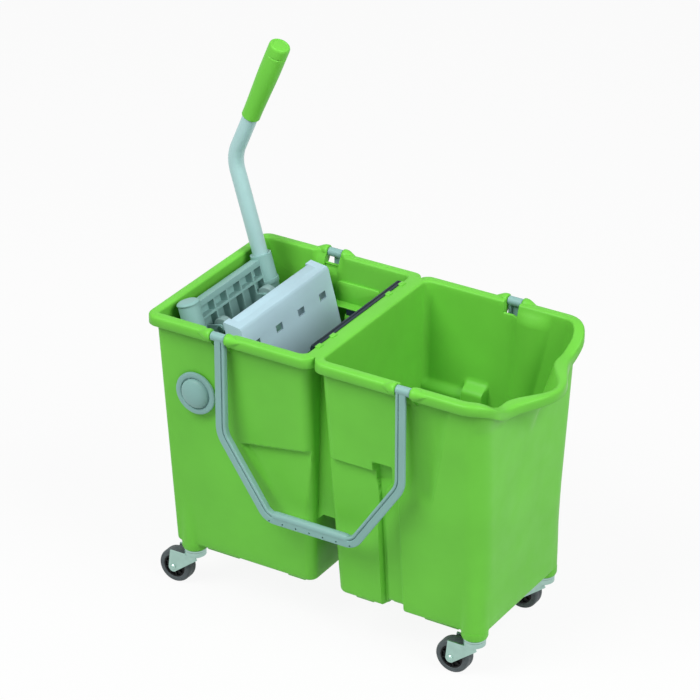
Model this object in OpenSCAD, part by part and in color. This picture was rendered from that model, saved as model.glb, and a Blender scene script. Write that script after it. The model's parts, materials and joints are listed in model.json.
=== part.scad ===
// Double mop bucket trolley: a one-piece twin tub on four swivel casters, with a lever wringer in
// one bucket, a pouring spout on the other and a carrying bail along each long side.
// Millimetres, Z up from the floor. X runs along the trolley, the wringer bucket at minus X and the
// spout at plus X, and Y runs across it. Inside this file X is counted from the seam between the two
// buckets, and in_frame() moves each finished piece so that the origin lies under the middle.

/* [Tub] */
// Length over the rim, without the spout
tub_l = 525; // [490:1:580]
// Width over the rim
tub_w = 299; // [285:1:340]
// Height of the rim above the floor
rim_z = 440; // [425:1:480]
// Height of the rim's skirt
rim_h = 15; // [12:1:20]
// Overhang of the rim beyond the walls
rim_out = 11; // [10:1:14]
// Thickness of the rim's skirt and top
rim_t = 3; // [2:0.5:4]
// Radius along the rim's upper edge
rim_edge = 4; // [2:0.5:5]
// Thickness of the walls
wall_t = 4; // [3:0.5:5]
// Underside of the floor above the ground
floor_z = 72; // [70:1:78]
// Thickness of the floor
floor_t = 5; // [4:0.5:8]
// Height of the rounding along the floor's edge
floor_edge = 6; // [3:0.5:10]
// How far each long wall leans in from rim to floor
side_taper = 30; // [24:1:32]
// How far the wringer bucket's end wall leans in from rim to floor
end_taper = 5; // [2:1:10]
// How far the spout bucket's end wall leans in from rim to floor
spout_taper = 9; // [2:1:12]
// Depth below the rim at which the spout bucket's end wall starts to flare out to the rim
flare_h = 55; // [40:1:70]
// Gap between the two buckets at the rim
seam_gap = 18; // [14:1:26]
// How far the middle of that gap lies off the line where the rims meet, towards the wringer bucket
seam_shift = 3; // [0:0.5:4]
// How far each wall at the seam leans away from rim to floor
seam_taper = 10; // [6:1:14]
// Corner radius of the walls at the spout end
end_r = 28; // [20:1:34]
// Corner radius of the walls at the wringer end
far_r = 7; // [5:1:14]
// Corner radius of the walls at the seam
seam_r = 14; // [10:1:18]
// Corner radius of the rim at the seam
rim_seam_r = 17; // [12:1:24]
// Distance of the webs between the buckets inside the long walls
web_in = 18.5; // [16:0.5:30]
// Lower edge of the webs between the buckets
web_z = 170; // [140:1:230]

/* [Spout] */
// Reach of the spout beyond the rim
spout_reach = 31; // [15:1:40]
// Half width of the spout at the rim
spout_half = 92; // [70:1:100]
// Height of the spout's fairing below the rim
spout_h = 110; // [80:1:150]
// How far the lip dips below the rim
spout_dip = 26; // [15:1:34]
// Half width of the lip's lowest part
lip_half = 80; // [60:1:100]

/* [Wall reliefs] */
// Height of the panel ledges at the seam
ledge_z = 288; // [275:1:300]
// How much lower the wringer bucket's ledge is at its far end
ledge_drop = 20; // [5:1:30]
// Height at which the hand recesses run out
recess_z = 187; // [160:1:210]
// Far end of the wringer bucket's recess under the ledge
recess_top_x = 124; // [110:1:130]
// Far end of the wringer bucket's recess at its foot
recess_foot_x = 64; // [50:1:90]
// Start of the groove in the spout bucket's long walls
groove_x = 88; // [80:1:95]
// Width of the groove
groove_w = 8; // [5:1:12]
// Depth of the groove
groove_d = 9; // [6:1:12]
// Width of the sunk strip beside the groove
strip_w = 28; // [20:1:34]
// Depth of the sunk strip
strip_d = 4; // [2:0.5:6]
// Height of the arch in the floor's edge under the strip
strip_arch = 9; // [4:1:14]
// Width of the pocket above the groove
pocket_w = 27; // [20:1:34]
// Height of the pocket
pocket_h = 27; // [20:1:34]
// Depth of the pocket
pocket_d = 15; // [10:1:18]
// Distance of the flute beside the bail from the seam, at the rim
flute_x = 175; // [165:1:185]
// Radius of the flute at the rim
flute_r = 58; // [45:1:65]
// Radius of the flute at its foot
flute_foot_r = 15; // [10:1:20]
// Depth of the flute
flute_d = 8; // [4:1:10]
// Height of the flute's foot
flute_z = 264; // [240:1:300]

/* [Bails] */
// Distance of the bail legs from the seam
bail_x = 140; // [130:1:145]
// Distance of the bail pins inside the rim's outer face
bail_in = 1.5; // [1:0.5:5]
// Depth of the bail pins below the rim
bail_drop = 4; // [3:0.5:7]
// Height of the knobs beside the bail notches above the rim
knob_rise = 4.5; // [2:0.5:6]
// Height at which the bail legs start to slant
bail_knee_z = 293; // [270:1:310]
// Height of the bail's lower bar
bail_low_z = 185; // [150:1:200]
// Half length of the bail's lower bar
bail_low_x = 67.5; // [55:0.5:80]
// Width of the bail's flange
bail_flange_w = 10; // [8:0.5:12]
// Thickness of the bail's flange
bail_flange_t = 4.5; // [3:0.5:6]
// Radius of the bead along the bail's inner edge
bail_bead_r = 4.2; // [3:0.1:5]
// Radius of the grip on the lower bar
bail_grip_r = 6.2; // [5:0.1:7]
// Radius of the bail's barrel in the rim notch
bail_barrel_r = 6.3; // [5:0.1:6.5]
// Length of the bail's barrel
bail_barrel_l = 22; // [18:1:26]
// Radius of the stub pins that carry the bail
bail_pin_r = 4; // [3:0.1:5]
// Length of the stub pins
bail_pin_l = 8; // [6:1:10]
// Number of holes in the lower bar
bail_holes = 7; // [3:1:9]

/* [Wringer] */
// Distance of the lever's pivot inside the rim's far end
pivot_in = 71.5; // [68:0.5:80]
// Height of the lever's pivot
pivot_z = 332; // [325:1:345]
// Radius of the pivot shaft
pivot_r = 7; // [5:0.5:9]
// Lean of the lever at rest
lever_lean = 16.5; // [14:0.5:18]
// Distance from the pivot to the top of the lever block
block_h = 112; // [105:1:118]
// How far the tube sockets lie behind the pivot
socket_back = 3.5; // [0:0.5:5]
// Distance of the spare socket inside the press plate's end
spare_in = 15; // [13:1:24]
// Distance of the tube's socket inside the press plate's other end
tube_in = 26; // [13:1:30]
// Outer radius of the tube sockets
socket_r = 15; // [13.5:0.5:15.5]
// Outer radius of the lever tube
tube_r = 11; // [9:0.5:12]
// Wall of the lever tube
tube_t = 1.5; // [1:0.25:3]
// Distance from the pivot to the bend in the lever tube
bend_at = 258; // [220:1:280]
// Lean of the tube above the bend
tube_lean = 23; // [10:0.5:30]
// Radius of the bend along the tube's middle
bend_r = 55; // [40:1:80]
// Length of the tube above the bend
tube_upper = 192; // [150:1:220]
// Length of the grip
grip_l = 126; // [100:1:140]
// Largest radius of the grip
grip_r = 15; // [13:0.5:18]
// Radius of the pressure rollers
roller_r = 14; // [11:0.5:14.5]
// Width of the pressure rollers
roller_w = 12; // [8:1:14]
// Radius of the roller pins
roller_pin_r = 3; // [2:0.25:4]
// Distance of the press plate's hinge in front of the lever's pivot
hinge_reach = 105; // [99:1:110]
// Height of the press plate's hinge
hinge_z = 250; // [245:1:260]
// Radius of the press plate's hinge pin
hinge_r = 4; // [3:0.25:5]
// Lean of the press plate at rest
plate_lean = 15; // [13:0.5:17]
// Length of the press plate from hinge to fold
plate_h = 189; // [175:1:192]
// Distance of the press plate's ends inside the walls beside its hinge
plate_side = 13; // [11.5:0.5:20]
// Thickness of the press plate
plate_t = 3; // [2:0.5:4]
// Depth of the press plate's folded edge
plate_flange = 17; // [14:1:22]
// How much further the horns at the ends of the folded edge reach
plate_horn = 9; // [4:1:12]
// Length of those horns along the edge
horn_l = 14; // [10:1:20]
// Width of the square holes in the press plate
plate_hole = 9.5; // [6:0.5:12]
// Thickness of the fixed jaw
jaw_t = 3.5; // [2.5:0.5:5]
// Height of the rests for the wringer on the inside of the walls
rest_z = 366; // [355:1:372]
// Radius of the pivot caps
cap_r = 31; // [26:0.5:33]
// Radius of the dome on the pivot caps
dome_r = 21.5; // [16:0.5:23]

/* [Casters] */
// Distance of the swivel axes inside the ends of the rim
caster_end = 38.5; // [34:0.5:48]
// Distance of the swivel axes inside the long walls at the floor
caster_side = 13; // [11:0.5:20]
// Radius of the caster bosses under the tub
boss_r = 18.5; // [17:0.5:21]
// Radius of the wheels
wheel_r = 25; // [22:0.5:26]
// Width of the wheels
wheel_w = 20; // [16:0.5:24]
// Distance of the axle behind the swivel axis
trail = 30; // [24:1:34]
// Radius of the tyre's inside
hub_r = 17; // [13:0.5:19]
// Radius of the axle
axle_r = 3; // [2:0.25:4]
// Radius of the stem in the tub
stem_r = 5.5; // [4:0.25:7]
// Length of the stem in the tub
stem_l = 28; // [20:1:32]
// Radius of the swivel's rivet
rivet_r = 4; // [3:0.25:5]
// Thickness of the fork's sheet metal
fork_t = 2.2; // [1.5:0.1:3]
// Height of the ball race
race_h = 7.5; // [5:0.5:9]

/* [Fits] */
// Radial clearance of a turning fit
run_fit = 0.05; // [0.02:0.01:0.1]
// Clearance between moving pieces that face each other
gap = 0.5; // [0.3:0.1:0.8]

/* [Hidden] */
$fn = 48;

GREEN = "#6abf45";
PALE_GREY = "#9fb9b8";
PLATE_GREY = "#a9b4bd";
DARK_GREY = "#2f3d45";
ROLLER_GREY = "#7d8f8f";
ZINC = "#c3cccb";
BLACK = "#1c1d1f";
TYRE_GREY = "#59646a";

// How far the pieces are extended past a face that they cut or join
over = 1;
// How far a straight length runs into a bend, and how much larger the bend's section is
joint_l = 0.5;
joint_m = 0.04;
// Height of the slope under the rim, which shows at the spout end
rim_slope = 10;
// Points along a rounded corner of the tub and along its spout end
corner_steps = 6;
spout_steps = 16;

// Place of the tube's bend and the outermost point of its outside, seen from the pivot
bend_turn = lever_lean + tube_lean;
bend_cut = bend_r * tan(bend_turn / 2);
lower_tube = bend_at - bend_cut;
pivot_x = tub_l / 2 - pivot_in;
caster_x = tub_l / 2 - caster_end;
bend_mid_x = (bend_r - socket_back) * cos(lever_lean) - pivot_x - lower_tube * sin(lever_lean);
x_min = min(bend_mid_x - bend_r - tube_r, -(caster_x + trail + wheel_r));
x_max = tub_l / 2 + spout_reach;
origin_x = (x_min + x_max) / 2;

// Walls of the buckets: they lean by 0 at the rim and 1 at the underside of the floor
side_angle = atan(side_taper / (rim_z - floor_z));
function lean_in(z) = (rim_z - z) / (rim_z - floor_z);
function wall_y(z) = tub_w / 2 - rim_out - side_taper * lean_in(z);
function wall_end(z) = tub_l / 2 - rim_out - end_taper * lean_in(z);
function spout_end(z) = tub_l / 2 - rim_out - spout_taper * lean_in(z);
function wall_seam(z) = seam_gap / 2 + seam_shift + seam_taper * lean_in(z);
function spout_seam(z) = seam_gap / 2 - seam_shift + seam_taper * lean_in(z);
function smooth(t) = let (c = min(1, max(0, t))) c * c * (3 - 2 * c);
function end_flare(z) = 0.6 * rim_out * smooth((z - rim_z + flare_h) / (flare_h - rim_h));

// Heights and places that several pieces share
bail_z = rim_z - bail_drop;
bail_y = tub_w / 2 - bail_in;
bail_notch_l = bail_barrel_l + 2 * gap;
bail_notch_x = bail_x - 2 * bail_bead_r + bail_barrel_l / 2;
bail_notch_h = 2 * bail_barrel_r;
knob_r = bail_drop + knob_rise;
knob_l = bail_pin_l + 3;
web_y = wall_y(web_z) - web_in;
boss_z = wheel_r * 2 + 12;
caster_y = wall_y(floor_z) - caster_side;
hinge_x = pivot_x - hinge_reach;
plate_y = wall_y(hinge_z) - plate_side;
spare_y = plate_y - spare_in;
tube_y = plate_y - tube_in;
roller_y = plate_y / 2;
pad_y = wall_y(pivot_z + cap_r) + 0.5;
socket_low = block_h - 50;
socket_floor = socket_low + 8;
roller_px = 13.7;
roller_pz = 63.7;
cheek_y = plate_y - plate_t;
ear_t = 4;
ear_y = cheek_y - gap;
jaw_top_z = rim_z - 2;
jaw_top_x = wall_seam(rim_z) + wall_t + 2;
jaw_foot_x = jaw_top_x + 29;
jaw_foot_z = hinge_z - 10;
jaw_y = plate_y + 1.5;
rail_y0 = plate_y + 1;
rail_t = 4;
rest_y = rail_y0 + 1;
rest_l = 28;
lug_w = 8;
wheel_gap = 0.8;
fork_in = wheel_w / 2 + wheel_gap + gap;

module in_frame() {
    translate([-origin_x, 0, 0]) children();
}

// Mirror image about the middle plane, added to the original
module both_sides() {
    children();
    mirror([0, 1, 0]) children();
}

// A closed solid through a stack of level outlines with equal numbers of points
module loft(levels) {
    n = len(levels[0]);
    m = len(levels);
    points = [for (level = levels) each level];
    sides = [
        for (k = [0 : m - 2], i = [0 : n - 1])
            let (j = (i + 1) % n, a = k * n, b = a + n)
            each [[a + i, b + i, b + j], [a + i, b + j, a + j]]
    ];
    base = [for (i = [0 : n - 1]) i];
    top = [for (i = [n - 1 : -1 : 0]) (m - 1) * n + i];
    polyhedron(points, concat([base, top], sides), convexity = 8);
}

function arc(cx, cy, r, start, z) = [
    for (i = [0 : corner_steps])
        let (a = start + 90 * i / corner_steps)
        [cx + r * cos(a), cy + r * sin(a), z]
];

// Swell of the spout beyond the end wall, at a distance from the middle and a height; it is fully
// out at the lowest point of the lip
function spout_swell(y, z, reach) =
    let (
        rise = min(1, max(0, (z - rim_z + spout_h) / (spout_h - spout_dip))),
        half = spout_half * (0.3 + 0.7 * rise)
    )
    abs(y) < half ? reach * rise * rise * pow(cos(90 * y / half), 2) : 0;

// End of the lip at the corners, and its dip below the rim at a distance from the middle
lip_end = tub_w / 2 - rim_out - wall_t - 4;
function lip_drop(y) = spout_dip * (1 - smooth((abs(y) - lip_half) / (lip_end - lip_half)));

// Outline of a bucket at one height, from its seam side at x0 to its end at x1, with the spout's reach
function outline(x0, x1, y, r0, r1, z, spout) = concat(
    arc(x1 - r1, r1 - y, r1, -90, z),
    [
        for (i = [1 : spout_steps - 1])
            let (v = (y - r1) * (2 * i / spout_steps - 1))
            [x1 + spout_swell(v, z, spout), v, z]
    ],
    arc(x1 - r1, y - r1, r1, 0, z),
    arc(x0 + r0, y - r0, r0, 90, z),
    arc(x0 + r0, r0 - y, r0, 180, z)
);

// A bucket with a spout has rounder corners at its end
function corner_r(spout) = spout > 0 ? end_r : far_r;

function wall_level(z, inset, spout, flare = 0) = outline(
    (spout > 0 ? spout_seam(z) : wall_seam(z)) + inset,
    (spout > 0 ? spout_end(z) : wall_end(z)) + flare - inset,
    wall_y(z) - inset,
    max(seam_r - inset, 2), max(corner_r(spout) - inset, 2), z, spout - flare
);

function rim_level(z, inset, seam_x, spout) = outline(
    seam_x, tub_l / 2 - inset, tub_w / 2 - inset,
    max(rim_seam_r - inset, 1), max(corner_r(spout) + rim_out - inset, 1), z, spout
);

// Heights between which a bucket's walls are drawn
function wall_heights(low, high, spout) = concat(
    [low],
    [for (i = [0 : 6]) if (spout > 0) rim_z - spout_h + i * (spout_h - rim_h / 2) / 6],
    [high]
);

module bucket_solid(spout) {
    loft(concat(
        [wall_level(floor_z, floor_edge, spout)],
        [
            for (z = wall_heights(floor_z + floor_edge, rim_z - rim_t / 2, spout))
                wall_level(z, 0, spout, spout > 0 ? end_flare(z) : 0)
        ]
    ));
}

module bucket_space(spout) {
    low = floor_z + floor_t;
    loft(concat(
        [wall_level(low, wall_t + floor_edge, spout)],
        [for (z = wall_heights(low + floor_edge, rim_z + over, spout)) wall_level(z, wall_t, spout)]
    ));
}

// The rim with a sloping underside that starts inside the walls
module rim_solid(spout) {
    low = rim_z - rim_h;
    loft([
        rim_level(low - rim_slope, rim_out + wall_t + 2, -over, spout),
        rim_level(low, 1, -over, spout),
        rim_level(low + 1.5, 0, -over, spout),
        rim_level(rim_z - rim_edge, 0, -over, spout),
        rim_level(rim_z - rim_edge * 0.6, rim_edge * 0.1, -over, spout),
        rim_level(rim_z - rim_edge * 0.25, rim_edge * 0.4, -over, spout),
        rim_level(rim_z, rim_edge, -over, spout)
    ]);
}

// The hollow under the rolled rim, which ends before a spout
module rim_space(spout) {
    end_x = tub_l / 2 - (spout > 0 ? end_r + 2 * rim_out : rim_t);
    end_corner = spout > 0 ? rim_t : far_r + rim_out - rim_t;
    loft([
        for (z = [rim_z - rim_h - rim_slope - over, rim_z - rim_t])
            outline(-2 * over, end_x, tub_w / 2 - rim_t, rim_seam_r - rim_t, end_corner, z, 0)
    ]);
}

// A frame whose XZ plane is the outer face of the front wall, with its Z running up the wall
module on_front_wall() {
    translate([0, -wall_y(floor_z), floor_z]) rotate([side_angle, 0, 0]) children();
}

function up_wall(z) = (z - floor_z) / cos(side_angle);

// Solid behind an outline in the XZ plane, from a depth outwards
module front_prism(y, points) {
    translate([0, y, 0])
        rotate([90, 0, 0])
            linear_extrude(tub_w) polygon(points);
}

// Hand recess under the wringer bucket's ledge, grown by a margin for the inside
module hand_recess(m) {
    front_prism(m - wall_y(recess_z), [
        [-recess_top_x - m, ledge_z - ledge_drop + m],
        [-recess_foot_x - m, recess_z],
        [0, recess_z],
        [0, ledge_z + m]
    ]);
}

// Sunk panel, groove, strip and pocket on the spout bucket's wall, grown by a margin for the inside
module panel_recess(m) {
    front_prism(m - wall_y(recess_z), [
        [0, recess_z],
        [groove_x + m, recess_z],
        [groove_x + m, ledge_z + m],
        [0, ledge_z + m]
    ]);
    low = up_wall(floor_z) - 2 * floor_edge;
    pocket_low = up_wall(ledge_z) - pocket_h / 2;
    on_front_wall() {
        translate([groove_x - m, -tub_w, low])
            cube([groove_w + 2 * m, tub_w + groove_d + m, pocket_low - low + over]);
        translate([groove_x + groove_w / 2, -tub_w, low])
            cube([groove_w / 2 + strip_w + m, tub_w + strip_d + m, pocket_low - low + over + m]);
        translate([groove_x - groove_w / 2 - m, -tub_w, pocket_low - m])
            cube([pocket_w + 2 * m, tub_w + pocket_d + m, pocket_h + 2 * m]);
    }
    translate([groove_x + groove_w / 2, -tub_w, 0])
        cube([
            strip_w + groove_w / 2 + m,
            tub_w - wall_y(floor_z) + 2 * strip_arch + m,
            floor_z + strip_arch + m
        ]);
}

// Shallow flute beside the bail, widest under the rim
module flute(m) {
    low = up_wall(flute_z);
    high = up_wall(rim_z - rim_h);
    run = high - low;
    foot_x = flute_x - flute_foot_r;
    foot_y = flute_foot_r - flute_d * 0.7;
    top_y = flute_r - flute_d;
    on_front_wall()
        translate([foot_x, -foot_y, low])
            rotate([atan((top_y - foot_y) / run), atan((flute_x - foot_x) / run), 0])
                cylinder(h = run, r1 = flute_foot_r + m, r2 = flute_r + m);
}

// Everything that is sunk into the outside of the long walls
module reliefs(m) {
    both_sides() {
        hand_recess(m);
        panel_recess(m);
        flute(m);
    }
}

// Region above the lip, which dips across the spout end between the corners
module lip_cut() {
    steps = 24;
    curve = [
        for (i = [0 : steps])
            let (y = lip_end * (2 * i / steps - 1))
            [y, rim_z - lip_drop(y)]
    ];
    points = concat(curve, [[lip_end, rim_z + 2 * over], [-lip_end, rim_z + 2 * over]]);
    translate([tub_l / 2 - end_r - rim_out, 0, 0])
        rotate([90, 0, 90])
            linear_extrude(spout_reach + end_r + 2 * rim_out) polygon(points);
}

// Web that ties the two buckets together, arched at its lower edge
module web() {
    half_t = wall_t / 2;
    arch = 10;
    high = rim_z - rim_t / 2;
    translate([0, web_y + wall_t / 2, 0])
        rotate([90, 0, 0])
            linear_extrude(wall_t) polygon([
                [-wall_seam(high) - half_t, high],
                [-wall_seam(web_z) - half_t, web_z],
                [-wall_seam(web_z) / 2, web_z + arch],
                [spout_seam(web_z) / 2, web_z + arch],
                [spout_seam(web_z) + half_t, web_z],
                [spout_seam(high) + half_t, high]
            ]);
}

module at_casters() {
    for (x = [-caster_x, caster_x], y = [-caster_y, caster_y])
        translate([x, y, 0]) children();
}

module at_bail_pins() {
    for (x = [-bail_notch_x, bail_notch_x], y = [-bail_y, bail_y])
        translate([x, y, bail_z]) rotate([0, 90, 0]) children();
}

// Boss that takes a caster's stem, with a rounded foot; it runs out into the leaning wall
module caster_boss() {
    edge = 4;
    boss_run = 72;
    translate([0, 0, boss_z + edge]) cylinder(h = floor_z + boss_run - boss_z, r = boss_r);
    translate([0, 0, boss_z]) cylinder(h = edge, r1 = boss_r - edge, r2 = boss_r);
}

// Pads under the floor's edges, a short one near the seam and a long one before the caster
module floor_pads() {
    pad_h = 6;
    pad_w = 12;
    for (s = [-1, 1], run = [[0.18, 0.13], [0.66, 0.24]])
        both_sides()
            translate([s * run[0] * caster_x - (s < 0 ? run[1] * caster_x : 0), 0, floor_z - pad_h])
                translate([0, wall_y(floor_z) - floor_edge - pad_w - 3, 0])
                    cube([run[1] * caster_x, pad_w, pad_h + floor_t / 2]);
}

// Rests inside the wringer bucket that carry the wringer's side rails
module wringer_rests() {
    both_sides()
        translate([-hinge_x - rest_l * 0.75, rest_y, rest_z - rest_l])
            cube([rest_l, tub_w / 2, rest_l]);
}

// Lugs on the seam that hold the top of the jaw down
module jaw_lugs() {
    for (f = [-0.9, -0.56, 0.56, 0.9])
        translate([-jaw_top_x - 6, f * jaw_y - lug_w / 2, jaw_top_z + 2 * gap])
            cube([8 + jaw_top_x - wall_seam(rim_z), lug_w, rim_z - jaw_top_z + 1.5]);
}

module tub_outside() {
    difference() {
        union() {
            rim_solid(spout_reach);
            mirror([1, 0, 0]) rim_solid(0);
        }
        rim_space(spout_reach);
        mirror([1, 0, 0]) rim_space(0);
    }
    bucket_solid(spout_reach + rim_out);
    mirror([1, 0, 0]) bucket_solid(0);
    both_sides() web();
    at_casters() caster_boss();
    at_bail_pins() {
        cylinder(h = bail_notch_l + 2 * knob_l, r = knob_r, center = true);
        both_ends(bail_notch_l / 2 + knob_l) cylinder(h = knob_l, r1 = knob_r, r2 = bail_in);
    }
    floor_pads();
    both_sides()
        translate([-pivot_x, 0, pivot_z])
            rotate([90, 0, 0])
                cylinder(h = pad_y, r = cap_r - 1.5);
}

module tub_inside() {
    difference() {
        union() {
            bucket_space(spout_reach + rim_out);
            mirror([1, 0, 0]) bucket_space(0);
        }
        reliefs(wall_t);
        at_casters() cylinder(h = boss_z + stem_l + 8, r = stem_r + 5);
        wringer_rests();
    }
}

module tub() {
    in_frame() color(GREEN) {
        difference() {
            tub_outside();
            tub_inside();
            reliefs(0);
            lip_cut();
            at_bail_pins() {
                translate([bail_notch_h / 2 - 2 * knob_r, 0, 0])
                    cube([4 * knob_r + bail_notch_h, 4 * rim_out, bail_notch_l], center = true);
                cylinder(h = bail_notch_l + 2 * bail_pin_l + 1, r = bail_pin_r + run_fit, center = true);
            }
            translate([-pivot_x, 0, pivot_z])
                rotate([90, 0, 0])
                    cylinder(h = tub_w, r = pivot_r + run_fit, center = true);
            at_casters()
                translate([0, 0, boss_z - over])
                    cylinder(h = stem_l + 2 * over, r = stem_r + run_fit);
        }
        jaw_lugs();
    }
}

// Fixed jaw of the wringer: a perforated back, a drain tray with hinge ears, and two side rails
module wringer_jaw() {
    run = jaw_top_z - jaw_foot_z;
    tilt = atan((jaw_foot_x - jaw_top_x) / run);
    back_l = run / cos(tilt);
    tray_end = hinge_x + 12;
    slot_w = 6;
    slot_l = 22;
    in_frame() color(DARK_GREY) difference() {
        union() {
            translate([-jaw_foot_x, -jaw_y, jaw_foot_z])
                rotate([0, tilt, 0])
                    translate([-jaw_t, 0, 0]) cube([jaw_t, 2 * jaw_y, back_l]);
            translate([-jaw_top_x - 5, -jaw_y, jaw_top_z - 9]) cube([6, 2 * jaw_y, 9]);
            translate([-tray_end, -ear_y, jaw_foot_z - 4])
                cube([tray_end - jaw_foot_x + 1, 2 * ear_y, jaw_t]);
            translate([-jaw_foot_x - jaw_t, -ear_y, jaw_foot_z - 4])
                cube([jaw_t + 1, 2 * ear_y, 6]);
            both_sides() {
                translate([-hinge_x, ear_y, hinge_z])
                    rotate([90, 0, 0])
                        cylinder(h = ear_t, r = hinge_r + 4);
                translate([-hinge_x - hinge_r - 4, ear_y - ear_t, jaw_foot_z - 4])
                    cube([2 * (hinge_r + 4), ear_t, hinge_z - jaw_foot_z + 4]);
                translate([-hinge_x - 18, rail_y0, rest_z])
                    cube([hinge_x + 18 - jaw_top_x - 14, rail_t, 8]);
                translate([-jaw_top_x - 20, rail_y0 - 6, rest_z])
                    cube([8, 6 + rail_t, 8]);
            }
        }
        translate([-hinge_x, 0, hinge_z])
            rotate([90, 0, 0])
                cylinder(h = 4 * plate_y, r = hinge_r + run_fit, center = true);
        translate([-jaw_foot_x, 0, jaw_foot_z])
            rotate([0, tilt, 0])
                for (i = [-2.5 : 2.5], j = [1 : 4])
                    translate([-2 * jaw_t, i * jaw_y / 3.5 - slot_w / 2, j * back_l / 5.5 - slot_l / 3])
                        cube([4 * jaw_t, slot_w, slot_l]);
        for (i = [-4 : 4])
            translate([-hinge_x + 10, i * ear_y / 5.3, jaw_foot_z])
                cylinder(h = 20, r = slot_w / 2, center = true);
    }
}

// A frame at the press plate's hinge, with its Z running up the plate
module at_plate() {
    translate([-hinge_x, 0, hinge_z]) rotate([0, -plate_lean, 0]) children();
}

// Place of the rollers when the lever has turned by an angle, seen from the pivot
function roller_at(turn) = let (a = turn - lever_lean) [
    -pivot_x + roller_px * cos(a) + roller_pz * sin(a),
    pivot_z - roller_px * sin(a) + roller_pz * cos(a)
];

// The same place in the press plate's own frame, which follows the lever
lever_swing = 52;
plate_swing = 21;
function roller_on_plate(turn) = let (
    p = roller_at(turn),
    x = p[0] + hinge_x,
    z = p[1] - hinge_z,
    a = plate_lean - turn * plate_swing / lever_swing
) [x * cos(a) + z * sin(a), z * cos(a) - x * sin(a)];

// Rib behind the press plate that a roller runs along
module roller_track() {
    top = roller_on_plate(0);
    low = roller_on_plate(lever_swing);
    track_t = roller_w - 4;
    translate([0, roller_y + track_t / 2, 0])
        rotate([90, 0, 0])
            linear_extrude(track_t) difference() {
                polygon([
                    [0, low[1] - 30],
                    [low[0] + roller_r / 2, low[1] - 6],
                    [top[0] + roller_r / 2, top[1] + 6],
                    [0, top[1] + 14]
                ]);
                for (i = [0 : 26]) {
                    p = roller_on_plate(lever_swing * i / 26);
                    translate([p[0], p[1]]) circle(r = roller_r + gap);
                }
            }
}

// Moving plate of the wringer: a perforated sheet with a folded top, end cheeks and roller ribs
module press_plate() {
    front = 2.3;
    back = front - plate_t;
    fold_z = plate_h;
    edge_x = front - plate_flange - plate_horn;
    edge_z = fold_z + (plate_flange + plate_horn) * 0.42;
    in_frame() at_plate() color(PLATE_GREY) difference() {
        union() {
            translate([0, plate_y, 0])
                rotate([90, 0, 0])
                    linear_extrude(2 * plate_y) polygon([
                        [back, 12],
                        [front, 12],
                        [front, fold_z - 3],
                        [front - 2, fold_z + 1],
                        [edge_x, edge_z],
                        [edge_x - 1.5, edge_z - 2.6],
                        [back - 1, fold_z - 3]
                    ]);
            both_sides() {
                translate([0, plate_y, 0])
                    rotate([90, 0, 0])
                        linear_extrude(plate_t) polygon([
                            [-hinge_r - 3.5, 0],
                            [hinge_r + 2, 0],
                            [front, 16],
                            [front, fold_z - 3],
                            [front - 2, fold_z + 1],
                            [edge_x, edge_z],
                            [edge_x - 1.5, edge_z - 2.6],
                            [edge_x, fold_z - 26],
                            [edge_x + 8, 60]
                        ]);
                translate([0, plate_y, 0])
                    rotate([90, 0, 0])
                        cylinder(h = plate_t, r = hinge_r + 4);
                roller_track();
            }
        }
        rotate([90, 0, 0]) cylinder(h = 4 * plate_y, r = hinge_r + run_fit, center = true);
        for (i = [-1.5 : 1.5], z = [plate_h * 0.5, plate_h * 0.83])
            translate([front - plate_t / 2, i * plate_y / 2, z])
                cube([2 * plate_t, plate_hole, plate_hole], center = true);
        translate([edge_x - 2 * plate_horn, horn_l - plate_y, edge_z - 2 * plate_horn])
            cube([3 * plate_horn, 2 * (plate_y - horn_l), 3 * plate_horn]);
    }
}

module plate_hinge_pin() {
    head_t = 1;
    in_frame() color(ZINC)
        translate([-hinge_x, 0, hinge_z])
            rotate([90, 0, 0]) {
                cylinder(h = 2 * plate_y + 2 * gap, r = hinge_r, center = true);
                both_ends(plate_y + gap) cylinder(h = head_t, r = hinge_r + 2);
            }
}

// Copies at a height and, turned over, at the opposite height
module both_ends(z) {
    translate([0, 0, z]) children();
    mirror([0, 0, 1]) translate([0, 0, z]) children();
}

// A frame at the lever's pivot, with its Z running up the leaning lever block
module at_lever() {
    translate([-pivot_x, 0, pivot_z]) rotate([0, -lever_lean, 0]) children();
}

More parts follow.
